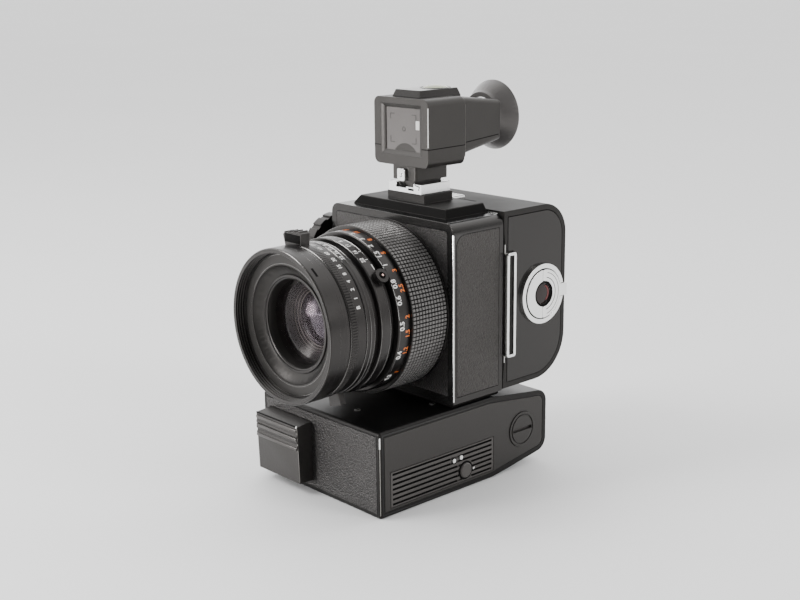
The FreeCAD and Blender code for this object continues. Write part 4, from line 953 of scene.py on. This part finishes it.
@dataclass
class CameraBody:
    """The body casting with its coverings, top plate, shoe and winding knob."""

    half: float = 46.0
    front: float = -10.5
    low: float = 48.0
    high: float = 133.2
    edge: float = 0.8
    seam_low: Place = (7.0, 24.5, 138.2)
    seam_high: Place = (42.0, 25.2, 139.0)
    plate_half: float = 35.0
    plate_front: float = -4.5
    plate_back: float = 24.5
    plate_foot: float = 138.5
    slope: Place = (3.0, 2.8, 4.5)
    shoe_face: float = 0.34
    leaf: Pair = (6.6, 9.1)
    lips: Pair = (7.6, 11.45)

    def build(self) -> None:
        """Build every piece of the body."""
        dress("body_shell", PAINT, 0.35)
        dress("body_front_grain", LEATHERETTE)
        dress("side_panels", FINE_GRAIN, 0.25)
        dress("top_plate", SATIN_PAINT, 0.3)
        dress("accessory_shoe", CHROME, 0.2)
        dress("winding_knob", ANODISED, 0.15)
        self.painted_highlights()
        self.shoe_details()
        self.plate_slope_shade()

    def painted_highlights(self) -> None:
        """Add painted highlights on the body's front right edge and along the seam at the
        magazine.
        """
        edge, seam = Blank(), Blank()
        low = (self.half - self.edge, self.front - 0.06, self.low)
        edge.cuboid(low, (self.half + 0.06, self.front + self.edge, self.high), 0.25)
        edge.piece("body_edge_highlight", PAINTED_HIGHLIGHT, "chassis")
        seam.cuboid(self.seam_low, self.seam_high, 0.1)
        seam.piece("seam_highlight", PAINTED_HIGHLIGHT, "chassis")

    def plate_slope_shade(self) -> None:
        """Lay a dark sheet on the slopes of the top plate: painted shade."""
        slope_shade = Blank()
        inward, along, rise = self.slope
        rings = []
        for side, back in ((-1, False), (1, False), (1, True), (-1, True)):
            ring = []
            for share, out in ((0.07, 0.04), (0.92, 0.04), (0.92, -0.4), (0.07, -0.4)):
                x = side * (self.plate_half - inward * share + out)
                y = self.plate_back + out if back else self.plate_front + along * share - out
                ring.append(Vector((x, y, self.plate_foot + rise * share)))
            rings.append(ring)
        slope_shade.skin(rings)
        slope_shade.piece("top_plate_slope_shade", FLAT_BLACK, "chassis")

    def shoe_details(self) -> None:
        """Add the leaf spring under the shoe's lips, the slots and lines in the shoe's front, and
        dark lines along the lips that are painted shadow.
        """
        spring, slots = Blank(), Blank()
        for side in (-1.0, 1.0):
            low, high = sorted(side * x for x in self.leaf)
            spring.cuboid((low, 1.6, 150.35), (high, 20.6, 150.55), 0.05)
        spring.piece("shoe_spring", STEEL, "chassis")
        for low, high, z in ((-6.6, 0.9, 149.9), (2.4, 6.6, 148.9)):
            slots.cuboid((low, 0.32, z), (high, 0.6, z + 1.1), 0.1)
        y = self.shoe_face
        slots.bar((-3.2, y, 152.4), (0.6, y, 150.4), (1, 0, 1), (1.3, 0.16))
        slots.bar((7.4, y + 0.03, 152.0), (10.9, y + 0.03, 151.4), (0, 0, 1), (0.45, 0.1))
        slots.bar((10.9, y + 0.03, 151.5), (10.3, y + 0.03, 149.5), (1, 0, 0), (0.45, 0.1))
        # Dark lines along the shoe's lips: painted shadow.
        for side in (-1.0, 1.0):
            for x in self.lips:
                low, high = side * x - 0.22, side * x + 0.22
                slots.cuboid((low, 1.0, 152.4), (high, 20.8, 152.54))
        slots.piece("shoe_slots_and_shadow_lines", FLAT_BLACK, "chassis")


class Speed(Enum):
    """The figures of the shutter ring, with their angles on the ring."""

    BULB = ("B", 19.9)
    ONE = ("1", 26.7)
    TWO = ("2", 33.5)
    FOUR = ("4", 40.0)
    EIGHT = ("8", 46.5)
    FIFTEEN = ("15", 53.3)
    THIRTY = ("30", 60.9)
    SIXTY = ("60", 69.0)
    EIGHTH_THOUSAND = ("125", 77.4)
    QUARTER_THOUSAND = ("250", 86.4)
    HALF_THOUSAND = ("500", 95.6)


@dataclass
class Lens:
    """The lens: flange, focusing ring, barrel, rings, bezel and glass."""

    grip_radius: float = 43.0
    grip_core: float = 42.35
    grip_front: float = -34.2
    grip_rear: float = -11.7
    grip_rows: int = 11
    grip_studs: int = 132
    sleeve_front: float = -41.5
    sleeve_radius: float = 37.0
    grip_bore: float = 35.55
    ring_radius: float = 38.0
    scale_radius: float = 40.8
    depth_radius: float = 39.0
    rib_ends: Pair = (-69.0, -65.0)
    pad_low: Place = (-10.4, -69.4, 131.0)
    pad_high: Place = (1.3, -69.0, 135.1)
    slot_turns: Place = (52.3, 172.3, 292.3)
    lip_rings: Place = (-80.9, -79.4, -77.9)
    retainer: Outline = (
        (-72.6, 22.4), (-72.9, 23.0), (-73.3, 23.2), (-73.2, 24.2), (-72.0, 24.6)
    )
    baffle_rear: Pair = (-57.1, 19.7)
    baffle_front: float = -63.4
    baffle_step: float = 1.05
    baffles: int = 6
    socket_turn: float = 37.0
    socket_y: float = -45.4
    metres: Figures = (
        ("10", 97.0), ("5", 83.0), ("3", 72.4), ("2", 63.0), ("1.5", 54.0), ("1", 44.5),
        ("0.8", 29.9), ("0.6", 18.1), ("0.5", 0.5), ("0.4", -21.2), ("0.3", -42.7),
    )
    feet: Figures = (
        ("30", 96.0), ("15", 84.0), ("8", 69.9), ("5", 54.5), ("3", 39.3),
        ("2.5", 26.1), ("2", 6.3), ("1.5", -5.6), ("1.2", -18.5), ("1", -37.9),
    )
    stops: Figures = (
        ("22", 61.2), ("16", 67.8), ("11", 74.6), ("8", 81.4), ("5.6", 88.4), ("4.5", 96.0)
    )
    depths: Figures = (("22", 36.3), ("16", 27.6), ("11", 18.5), ("8", 10.4), ("", 5.2), ("", 0.0))
    # Each entry: a piece's name, the body it rides on, and the (place, radius) of its thin light
    # rings, which are painted highlights on the ring's edge.
    edges: Sequence[tuple[str, str, Outline]] = (
        (
            "bezel_highlight", "lens_barrel",
            ((-81.9, 38.2), (-75.9, 38.49), (-71.6, 38.49), (-57.0, 38.5)),
        ),
        ("speed_highlight", "shutter_ring", ((-69.1, 38.05), (-59.8, 37.9))),
        ("stop_highlight", "aperture_ring", ((-59.05, 37.95), (-54.4, 37.95))),
        ("depth_highlight", "lens_barrel", ((-50.8, 38.95), (-45.2, 38.95))),
        ("distance_highlight", "focus_ring", ((-40.9, 40.78), (-34.35, 40.78))),
    )

    def build(self) -> None:
        """Build every piece of the lens."""
        dress("lens_flange", ANODISED, 0.2)
        for node in ("distance_scale", "lens_barrel", "depth_scale", "sync_socket"):
            dress(node, ANODISED, 0.15)
        for node in ("aperture_ring", "shutter_ring", "front_bezel"):
            dress(node, ANODISED, 0.15)
        dress("name_ring", WELL_BLACK, 0.1)
        dress("front_element", LENS_GLASS)
        dress("rear_element", LENS_GLASS)
        clothe("rear_cell", WELL_BLACK)
        clothe("iris_plate", WELL_BLACK)
        clothe("iris_cam_ring", BRASS)
        for number in range(1, 6):
            clothe("iris_blade_%d" % number, BLADE)
        self.grip()
        self.speed_ring_details()
        self.bezel_details()
        self.front_group()
        self.ring_highlights()
        self.socket_pin()
        self.figures()

    @staticmethod
    def reach(spot: Vector) -> float:
        """Return how far a point is from the lens axis."""
        return math.hypot(spot.x, spot.z - LENS_Z)

    def grip(self) -> None:
        """Turn the focusing ring and raise the rows of square studs on it."""
        grip = Blank()
        step = (self.grip_rear - self.grip_front) / self.grip_rows
        rows = [(self.grip_front + step * i, self.grip_core) for i in range(self.grip_rows + 1)]
        outline = [
            (self.sleeve_front, self.grip_bore),
            (self.sleeve_front, self.sleeve_radius),
            (self.grip_front, self.sleeve_radius),
            *rows,
            (self.grip_rear, self.grip_bore),
        ]
        grip.lathe(outline, steps=self.grip_studs)
        edge = self.grip_core - 0.2
        grip.studs(lambda spot: self.reach(spot) > edge, 0.36, self.grip_radius - self.grip_core)
        grip.piece("focus_grip", GRIP, "focus_ring", ["focus_ring"], 20.0)

    def speed_ring_details(self) -> None:
        """Raise the fine ribs on the shutter ring's front and face its tab with a dull pad."""
        ribs, pad = Blank(), Blank()
        front, rear = self.rib_ends
        core, radius = self.ring_radius - 0.5, self.ring_radius + 0.02
        ribs.lathe([(front, core), (front, radius), (rear, radius), (rear, core)], steps=176)
        ribs.studs(lambda spot: self.reach(spot) > radius - 0.1, 0.3, 0.3)
        ribs.piece("shutter_ribs", ANODISED, "shutter_ring", sharp=20.0)
        pad.cuboid(self.pad_low, self.pad_high, 0.12)
        pad.piece("shutter_tab_pad", FLAT_BLACK, "shutter_ring")

    def bezel_details(self) -> None:
        """Cut the accessory slots and the rings inside the bezel's lip."""
        slots, rings = Blank(), Blank()
        for turn in self.slot_turns:
            slots.patch((2.6, 0.6), on_ring(38.5, turn, -78.5), 0.1)
        slots.piece("bezel_slots", FLAT_BLACK, "lens_barrel")
        for y in self.lip_rings:
            rings.lathe([(y - 0.35, 36.3), (y, 35.85), (y + 0.35, 36.3)], steps=96)
        rings.piece("bezel_inner_rings", WELL_BLACK, "lens_barrel")

    def front_group(self) -> None:
        """Turn the retaining ring, the baffles in a light brown-grey that is a painted reflection,
        and the second glass.
        """
        ring, steps, glass = Blank(), Blank(), Blank()
        ring.lathe(self.retainer)
        ring.piece("glass_retainer", ANODISED, "lens_barrel")
        rear, widest = self.baffle_rear
        outline = [(self.baffle_front, widest)]
        for index in range(self.baffles):
            inward = index * self.baffle_step
            place, radius = self.baffle_front + inward, 19.3 - inward
            outline += [(place, radius), (place + 0.9, radius - 0.15)]
        steps.lathe([*outline, (rear, 13.1), (rear, widest)])
        steps.piece("inner_baffles", BAFFLE_PAINTED_REFLECTION, "lens_barrel")
        cap = [(-61.6 + 0.015 * r * r, float(r)) for r in range(14)]
        glass.lathe([*cap, (-57.3, 13.2), (-57.3, 0.0)], closed=False, steps=64)
        glass.piece("inner_element", INNER_GLASS, "lens_barrel", sharp=60.0)

    def ring_highlights(self) -> None:
        """Turn thin light rings along each lens ring's edges, which are painted highlights, with a
        painted highlight on the distance ring's chamfer and painted highlight lines on the name
        ring.
        """
        for name, body, rings in self.edges:
            edges = Blank()
            for y, radius in rings:
                foot = radius - 0.1
                edges.lathe([(y - 0.09, foot), (y, radius + 0.02), (y + 0.09, foot)])
            edges.piece(name, PAINTED_RING_HIGHLIGHT, body)
        chamfer_highlight, lines = Blank(), Blank()
        for middle, half in ((48.5, 4.6), (17.5, 8.9)):
            chamfer_highlight.patch((half, 0.22), on_ring(40.5, middle, -41.05), 0.12)
        chamfer_highlight.piece("distance_painted_highlight", PAINTED_HIGHLIGHT, "focus_ring")
        for radius in (30.2, 34.6):
            lines.lathe([(-76.62, radius), (-76.62, radius + 0.14), (-76.5, radius + 0.07)])
        lines.piece("name_ring_highlights", PAINTED_RING_HIGHLIGHT, "lens_barrel")

    def socket_pin(self) -> None:
        """Set the contact into the flash socket and mark its side."""
        for name, finish, radius, thick, reach in (
            ("flash_socket_floor", FLAT_BLACK, 1.5, 1.2, 41.2),
            ("flash_socket_pin", COPPER, 0.65, 1.6, 41.6),
        ):
            disc = Blank()
            disc.disc(radius, thick, on_ring(reach, self.socket_turn, self.socket_y))
            disc.piece(name, finish, "lens_barrel")
        mark = Blank()
        mark.patch((1.6, 0.22), on_ring(self.depth_radius, self.socket_turn + 9.5, -45.6), 0.08)
        mark.piece("flash_socket_mark", WHITE_INK, "lens_barrel")

    def figures(self) -> None:
        """Fill in the figures and lines of every scale."""
        speeds, stops, depths = Blank(), Blank(), Blank()
        for figure, angle in (speed.value for speed in Speed):
            size = 2.9 if len(figure) < 3 else 2.3
            speeds.lettering(figure, size, on_ring(self.ring_radius, angle, -62.6))
        speeds.piece("speed_figures", WHITE_INK, "shutter_ring")
        for figure, angle in self.stops:
            stops.lettering(figure, 3.0, on_ring(self.ring_radius, angle, -57.4))
        stops.piece("stop_figures", WHITE_INK, "aperture_ring")
        for figure, spread in self.depths:
            for angle in sorted({90.0 - spread, 90.0 + spread}):
                depths.patch((0.14, 0.8), on_ring(self.depth_radius, angle, -46.3), 0.08)
                if figure:
                    depths.lettering(figure, 3.0, on_ring(self.depth_radius, angle, -48.7))
        depths.piece("depth_figures", WHITE_INK, "lens_barrel")
        for name, finish, figures, size, y in (
            ("metre_figures", WHITE_INK, self.metres, 3.9, -39.5),
            ("feet_figures", ORANGE_INK, self.feet, 3.5, -35.9),
        ):
            scale = Blank()
            for figure, angle in figures:
                scale.lettering(figure, size, on_ring(self.scale_radius, angle, y))
            scale.piece(name, finish, "focus_ring")


@dataclass
class Magazine:
    """The film magazine with its insert, spools, dark slide, key and crank."""

    key_place: Pair = (53.7, 93.2)
    key_face: float = 46.8
    tint_face: float = 47.4
    back: float = 73.0
    bow_face: float = 48.53
    dish_gap: Outline = ((46.75, 12.85), (47.8, 12.85), (47.8, 13.55), (46.75, 13.55))
    window_gap: Outline = ((47.7, 5.5), (47.95, 5.5), (47.95, 6.75), (47.7, 6.75))
    bow_lines: Outline = ((11.4, 0.3), (8.9, 0.4))
    wire: float = 1.6
    loop_low: Pair = (25.6, 64.0)
    loop_high: Pair = (32.1, 119.0)
    loop_bend: float = 1.4
    loop_foot: float = 46.1
    loop_top: float = 48.9

    def build(self) -> None:
        """Build every piece of the magazine."""
        dress("magazine_shell", SATIN_PAINT, 0.35, sunk=self.is_back)
        dress("magazine_panel", FINE_GRAIN, 0.25)
        dress("magazine_catch", CHROME, 0.15)
        dress("dark_slide", STEEL)
        dress("film_insert", PAINT, 0.2, clamp=True)
        dress("pressure_plate", ANODISED, 0.15)
        dress("supply_spool", BLACK_PLASTIC, 0.15)
        dress("take_up_spool", BLACK_PLASTIC, 0.15)
        dress("film_key", CHROME, 0.12)
        dress("key_bow", CHROME, 0.2)
        dress("magazine_crank", CHROME, 0.15)
        self.back_cover()
        self.slide_loop()
        self.key_details()

    def is_back(self, spot: Vector) -> bool:
        """Return whether a point in metres is on the flat of the magazine's back."""
        return spot.y > (self.back - 0.02) * MM and 0.08 < spot.z < 0.115

    def back_cover(self) -> None:
        """Lay the grained cover into the magazine's back."""
        cover = Blank()
        cover.cuboid((-42.6, self.back - 0.7, 73.4), (42.6, self.back - 0.05, 119.6), 0.2)
        cover.piece("magazine_back_cover", FINE_GRAIN, "magazine")

    def slide_loop(self) -> None:
        """Bend the dark slide's loop from wire with rounded edges."""
        loop = Blank()
        half, bend = self.wire / 2, self.loop_bend
        (y0, z0), (y1, z1) = self.loop_low, self.loop_high
        rings = []
        for index, (y, z) in enumerate(((y0, z0), (y1, z0), (y1, z1), (y0, z1))):
            middle = Vector((y + (1 if y == y0 else -1) * bend, z + (1 if z == z0 else -1) * bend))
            for step in range(7):
                turn = math.radians(180.0 + 90.0 * index + 15.0 * step)
                out = Vector((math.cos(turn), math.sin(turn)))
                line = middle + out * (bend - half)
                base = self.loop_foot if line.x < y0 + self.wire else self.loop_foot + 1.2
                rings.append(self.wire_section(line, out, half, base))
        loop.skin(rings)
        loop.piece("slide_loop", CHROME, "dark_slide", ["dark_slide_handle"], 50.0)

    def wire_section(self, line: Vector, out: Vector, half: float, base: float) -> list[Vector]:
        """Return one section of the loop's wire.

        Args:
            line: The wire's middle, along Y and Z.
            out: The way out of the bend, along Y and Z.
            half: Half the wire's width.
            base: Where the wire starts along X.

        Returns:
            The section's corners.
        """
        middle = (base + self.loop_top) / 2
        tall = (self.loop_top - base) / 2
        ring = []
        for step in range(16):
            turn = math.radians(22.5 * step)
            across, rise = math.cos(turn), math.sin(turn)
            across = math.copysign(abs(across) ** 0.55, across) * half
            rise = math.copysign(abs(rise) ** 0.55, rise) * tall
            spot = line + out * across
            ring.append(Vector((middle + rise, spot.x, spot.y)))
        return ring

    def on_key(self, face: float, reach: float, turn: float) -> Vector:
        """Return a point of the key's face, by its reach and turn about the key's middle."""
        y, z = self.key_place
        return Vector((face, y + reach * math.cos(turn), z + reach * math.sin(turn)))

    def key_details(self) -> None:
        """Set the window into the key and darken the gaps round its grip."""
        window, tint, gaps, lines = Blank(), Blank(), Blank(), Blank()
        face = self.key_face
        outline = [(face, 0.0), (face, 5.5), (face + 0.35, 5.4), (face + 0.5, 3.5)]
        window.lathe([*outline, (face + 0.55, 0.0)], self.key_place, "x", 48, closed=False)
        window.piece("key_window", DARK_WINDOW, "film_key")
        y, z = self.key_place
        arc = [math.radians(-52.0 + 8.0 * step) for step in range(15)]
        rim = [self.on_key(self.tint_face, 4.9, turn) for turn in arc]
        for turn in arc[::-1]:
            across, rise = 4.9 * math.cos(turn), 4.6 * math.sin(turn)
            rim.append(Vector((self.tint_face, y - 1.2 + across, z + rise)))
        tint.skin([rim, [spot - Vector((0.3, 0.0, 0.0)) for spot in rim]], True)
        tint.piece("key_window_tint", RED_WINDOW, "film_key")
        gaps.lathe(self.dish_gap, self.key_place, "x", 96)
        gaps.lathe(self.window_gap, self.key_place, "x", 64)
        for low, high in ((-12.9, -6.8), (6.8, 12.9)):
            gaps.cuboid((46.75, y - 1.2, z + low), (48.2, y - 0.7, z + high))
        gaps.piece("key_gaps", FLAT_BLACK, "film_key")
        arc = [math.radians(-78.0 + 6.5 * step) for step in range(25)]
        for radius, wide in self.bow_lines:
            rim = [self.on_key(self.bow_face, radius, turn) for turn in arc]
            rim += [self.on_key(self.bow_face, radius - wide, turn) for turn in arc[::-1]]
            lines.skin([rim, [spot - Vector((0.06, 0.0, 0.0)) for spot in rim]], True)
        lines.piece("key_bow_lines", FLAT_BLACK, "key_bow")


@dataclass
class Finder:
    """The clip-on viewfinder with its window, level and eyecup."""

    window_y: float = -0.2
    window_half: float = 12.6
    window_low: float = 168.9
    window_high: float = 190.6
    frame_size: Pair = (2.38, 1.88)
    mark_x: float = 9.4
    mark_heights: Pair = (173.0, 187.4)
    mark_length: float = 3.0
    shade_middle: Pair = (1.5, 162.9)
    shade_radius: float = 10.0
    box_half: float = 20.0
    level_rim: Outline = ((199.2, 7.25), (199.55, 7.25), (199.55, 7.9), (199.2, 8.1))
    level_bubble: Outline = ((200.3, 0.0), (200.3, 2.2), (200.45, 1.9), (200.5, 0.0))

    def build(self) -> None:
        """Build every piece of the finder."""
        dress("finder_foot", BLACK_PLASTIC, 0.25)
        dress("finder_lower_shell", BLACK_PLASTIC, 0.18)
        dress("finder_upper_shell", BLACK_PLASTIC, 0.18)
        dress("finder_window", WINDOW_GLASS)
        dress("finder_cap", PAINT, 0.25)
        dress("level_dome", LEVEL_GLASS)
        dress("eyepiece_lens", LENS_GLASS, 0.1)
        dress("eyecup", RUBBER, 0.2)
        dress("finder_lock", CHROME, 0.2)
        self.frame_marks()
        self.window_frame()
        self.split_lines()
        self.edge_highlights()
        self.level_details()

    def frame_marks(self) -> None:
        """Lay the corner marks and the centre ring on the window, with a pale patch that is a
        painted glint and a dark arc that is painted shade.
        """
        marks, panel, shadow = Blank(), Blank(), Blank()
        y = self.window_y - 0.05
        for side in (-1.0, 1.0):
            x = side * self.mark_x
            inner = x - side * self.mark_length
            for z in self.mark_heights:
                marks.cuboid((min(x, inner), y - 0.03, z - 0.2), (max(x, inner), y, z + 0.2))
                end = z - self.mark_length if z > 180.0 else z + self.mark_length
                low, high = min(z, end), max(z, end)
                marks.cuboid((x - 0.22, y - 0.03, low), (x + 0.22, y, high))
        outline = [(y - 0.03, 0.8), (y - 0.03, 1.25), (y, 1.25), (y, 0.8)]
        marks.lathe(outline, (0.5, 180.0), "y", 32)
        marks.piece("finder_frame_marks", BLACK_PLASTIC, "finder")
        # A pale patch on the window: a painted glint.
        panel.cuboid((9.3, y - 0.02, 180.2), (11.9, y, 184.6))
        panel.piece("finder_painted_glint", PALE, "finder")
        # A dark arc laid on the window: painted shade.
        x, z = self.shade_middle
        reach = self.shade_radius
        rim = [
            Vector((x + reach * math.cos(turn), y, z + reach * math.sin(turn)))
            for turn in (math.radians(37.2 + 3.3 * step) for step in range(33))
        ]
        shadow.skin([rim, [spot + Vector((0.0, 0.03, 0.0)) for spot in rim]], True)
        shadow.piece("finder_window_shade", BLACK_PLASTIC, "finder")

    def window_frame(self) -> None:
        """Slope the frame in to the window."""
        sloped = Blank()
        middle = (self.window_low + self.window_high) / 2
        tall = (self.window_high - self.window_low) / 2
        wide, high = self.frame_size
        rings = []
        for side, rise in ((-1, -1), (1, -1), (1, 1), (-1, 1)):
            ring = []
            for share, y in ((0.0, -0.21), (0.0, -0.5), (0.98, -1.9), (1.0, -1.9), (1.0, -0.21)):
                x = side * (self.window_half + wide * share)
                ring.append(Vector((x, y, middle + rise * (tall + high * share))))
            rings.append(ring)
        sloped.skin(rings)
        sloped.piece("finder_window_frame", BLACK_PLASTIC, "finder")

    def split_lines(self) -> None:
        """Draw the line where the finder's two shells meet."""
        lines = Blank()
        up, size = (0, 0, 1), (0.45, 0.06)
        for side in (-1.0, 1.0):
            x, collar = side * self.box_half, side * 18.3
            lines.bar((x, -2.0, 171.05), (x, 23.5, 171.38), up, size)
            lines.bar((collar, 23.5, 171.38), (collar, 26.0, 171.4), up, size)
            lines.bar((side * 15.0, 26.0, 171.42), (side * 14.42, 54.5, 173.6), up, (0.45, 0.08))
            low, high = sorted((side * 15.1, x))
            lines.bar((low, -2.0, 171.05), (high, -2.0, 171.05), up, size)
        lines.piece("finder_split_lines", FLAT_BLACK, "finder")

    def edge_highlights(self) -> None:
        """Add painted highlights on the box's front right edge and on its collar."""
        edge, collar = Blank(), Blank()
        edge.bar((19.86, -1.9, 172.2), (19.86, -1.9, 191.6), (1, 1, 0), (0.5, 0.3))
        edge.piece("finder_painted_highlight", PAINTED_HIGHLIGHT, "finder")
        collar.bar((18.24, 25.95, 167.0), (18.24, 25.95, 191.5), (1, -1, 0), (0.3, 0.2))
        collar.piece("finder_collar_highlight", PLASTIC_HIGHLIGHT, "finder")

    def level_details(self) -> None:
        """Ring the level and draw its bubble."""
        rim, bubble = Blank(), Blank()
        rim.lathe(self.level_rim, (0.0, 22.5), "z", 64)
        rim.piece("level_rim", PAINT, "finder")
        bubble.lathe(self.level_bubble, (0.4, 22.2), "z", 32)
        bubble.piece("level_bubble", PALE, "finder")


@dataclass
class Studio:
    """The camera at the photograph's view, a pale floor and soft light."""

    azimuth: float = 47.71
    elevation: float = 14.29
    roll: float = -0.7
    distance: float = 688.73
    shift: Pair = (-21.34, 86.36)
    aim_y: float = 25.0
    focal_pixels: float = 1287.07
    image_width: float = 800.0
    backdrop: float = 2.4
    horizon: Outline = ((0.0, 0.2), (0.45, 0.2), (0.62, 1.0))
    lights: Sequence[tuple[str, Place, Pair, float]] = (
        ("window_light", (-0.42, -1.15, 0.18), (0.26, 0.26), 14.0),
        ("key_light", (-0.7, -0.9, 1.1), (0.6, 0.5), 14.0),
        ("side_light", (1.4, 0.5, 0.8), (0.5, 0.9), 12.0),
    )

    def build(self) -> None:
        """Set up the camera, the floor and the lights."""
        self.camera()
        self.floor()
        self.world()
        for light in self.lights:
            self.softbox(*light)

    def camera(self) -> None:
        """Make the camera from the view fitted to the photograph."""
        turn, rise, tip = map(math.radians, (self.azimuth, self.elevation, self.roll))
        level = math.cos(rise)
        back = Vector((math.sin(turn) * level, -math.cos(turn) * level, math.sin(rise)))
        right = Vector((math.cos(turn), math.sin(turn), 0.0))
        up = back.cross(right)
        across = right * math.cos(tip) + up * math.sin(tip)
        upward = up * math.cos(tip) - right * math.sin(tip)
        eye = across * self.shift[0] + Vector((0.0, self.aim_y, self.shift[1]))
        eye += back * self.distance
        data = bpy.data.cameras.new("view")
        data.sensor_width = 36.0
        data.lens = self.focal_pixels * data.sensor_width / self.image_width
        data.clip_start = 0.01
        data.clip_end = 200.0
        view = bpy.data.objects.new("view", data)
        bpy.context.scene.collection.objects.link(view)
        matrix = Matrix((across, upward, back)).transposed().to_4x4()
        matrix.translation = eye * MM
        view.matrix_world = matrix
        bpy.context.scene.camera = view

    def floor(self) -> None:
        """Lay the pale floor."""
        floor = bmesh.new()
        bmesh.ops.create_grid(floor, x_segments=1, y_segments=1, size=60.0)
        data = bpy.data.meshes.new("floor")
        floor.to_mesh(data)
        floor.free()
        tree = Tree(bpy.data.materials.new("floor_paper"))
        colour = tree.blend(tree.noise(2.0), (0.86, 0.86, 0.86), (0.9, 0.9, 0.9))
        data.materials.append(tree.surface({"Base Color": colour, "Roughness": 0.6}))
        plane = bpy.data.objects.new("floor", data)
        bpy.context.scene.collection.objects.link(plane)

    def world(self) -> None:
        """Surround the camera with light: pale behind it and dim where the viewer stands."""
        tree = Tree(bpy.data.worlds.new("studio"))
        turn = math.radians(self.azimuth)
        way = tree.node("ShaderNodeTexCoord", output="Generated")
        inputs = {0: way, 1: (-math.sin(turn), math.cos(turn), 0.0)}
        facing = tree.node("ShaderNodeVectorMath", {"operation": "DOT_PRODUCT"}, inputs, "Value")
        colour = tree.node("ShaderNodeValToRGB", {}, {0: facing * 0.5 + 0.5})
        ramp = colour.socket.node.color_ramp.elements
        ramp.new(0.5)
        for stop, (place, level) in zip(ramp, self.horizon):
            stop.position = place
            stop.color = (level, level, level, 1.0)
        light = tree.node("ShaderNodeBackground", {}, {"Color": colour, "Strength": self.backdrop})
        end = tree.nodes.new("ShaderNodeOutputWorld")
        tree.links.new(light.socket, end.inputs["Surface"])
        bpy.context.scene.world = tree.owner

    def softbox(self, name: str, place: Place, size: Pair, power: float) -> None:
        """Hang a softbox that faces the camera's middle.

        Args:
            name: The light's name.
            place: Where it hangs, in metres.
            size: Its width and height in metres.
            power: Its power in watts.
        """
        data = bpy.data.lights.new(name, "AREA")
        data.shape = "RECTANGLE"
        data.size, data.size_y = size
        data.energy = power
        light = bpy.data.objects.new(name, data)
        bpy.context.scene.collection.objects.link(light)
        light.location = place
        aim = Vector((0.0, 0.0, 0.1)) - Vector(place)
        light.rotation_euler = aim.to_track_quat("-Z", "Y").to_euler()


def main() -> None:
    """Build the looks in order."""
    logging.basicConfig(level=logging.INFO, format="%(name)s: %(message)s")
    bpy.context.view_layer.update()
    for part in (Studio(), DriveBase(), CameraBody(), Lens(), Magazine(), Finder()):
        LOG.info("building %s", type(part).__name__)
        part.build()


if __name__ == "__main__":
    main()
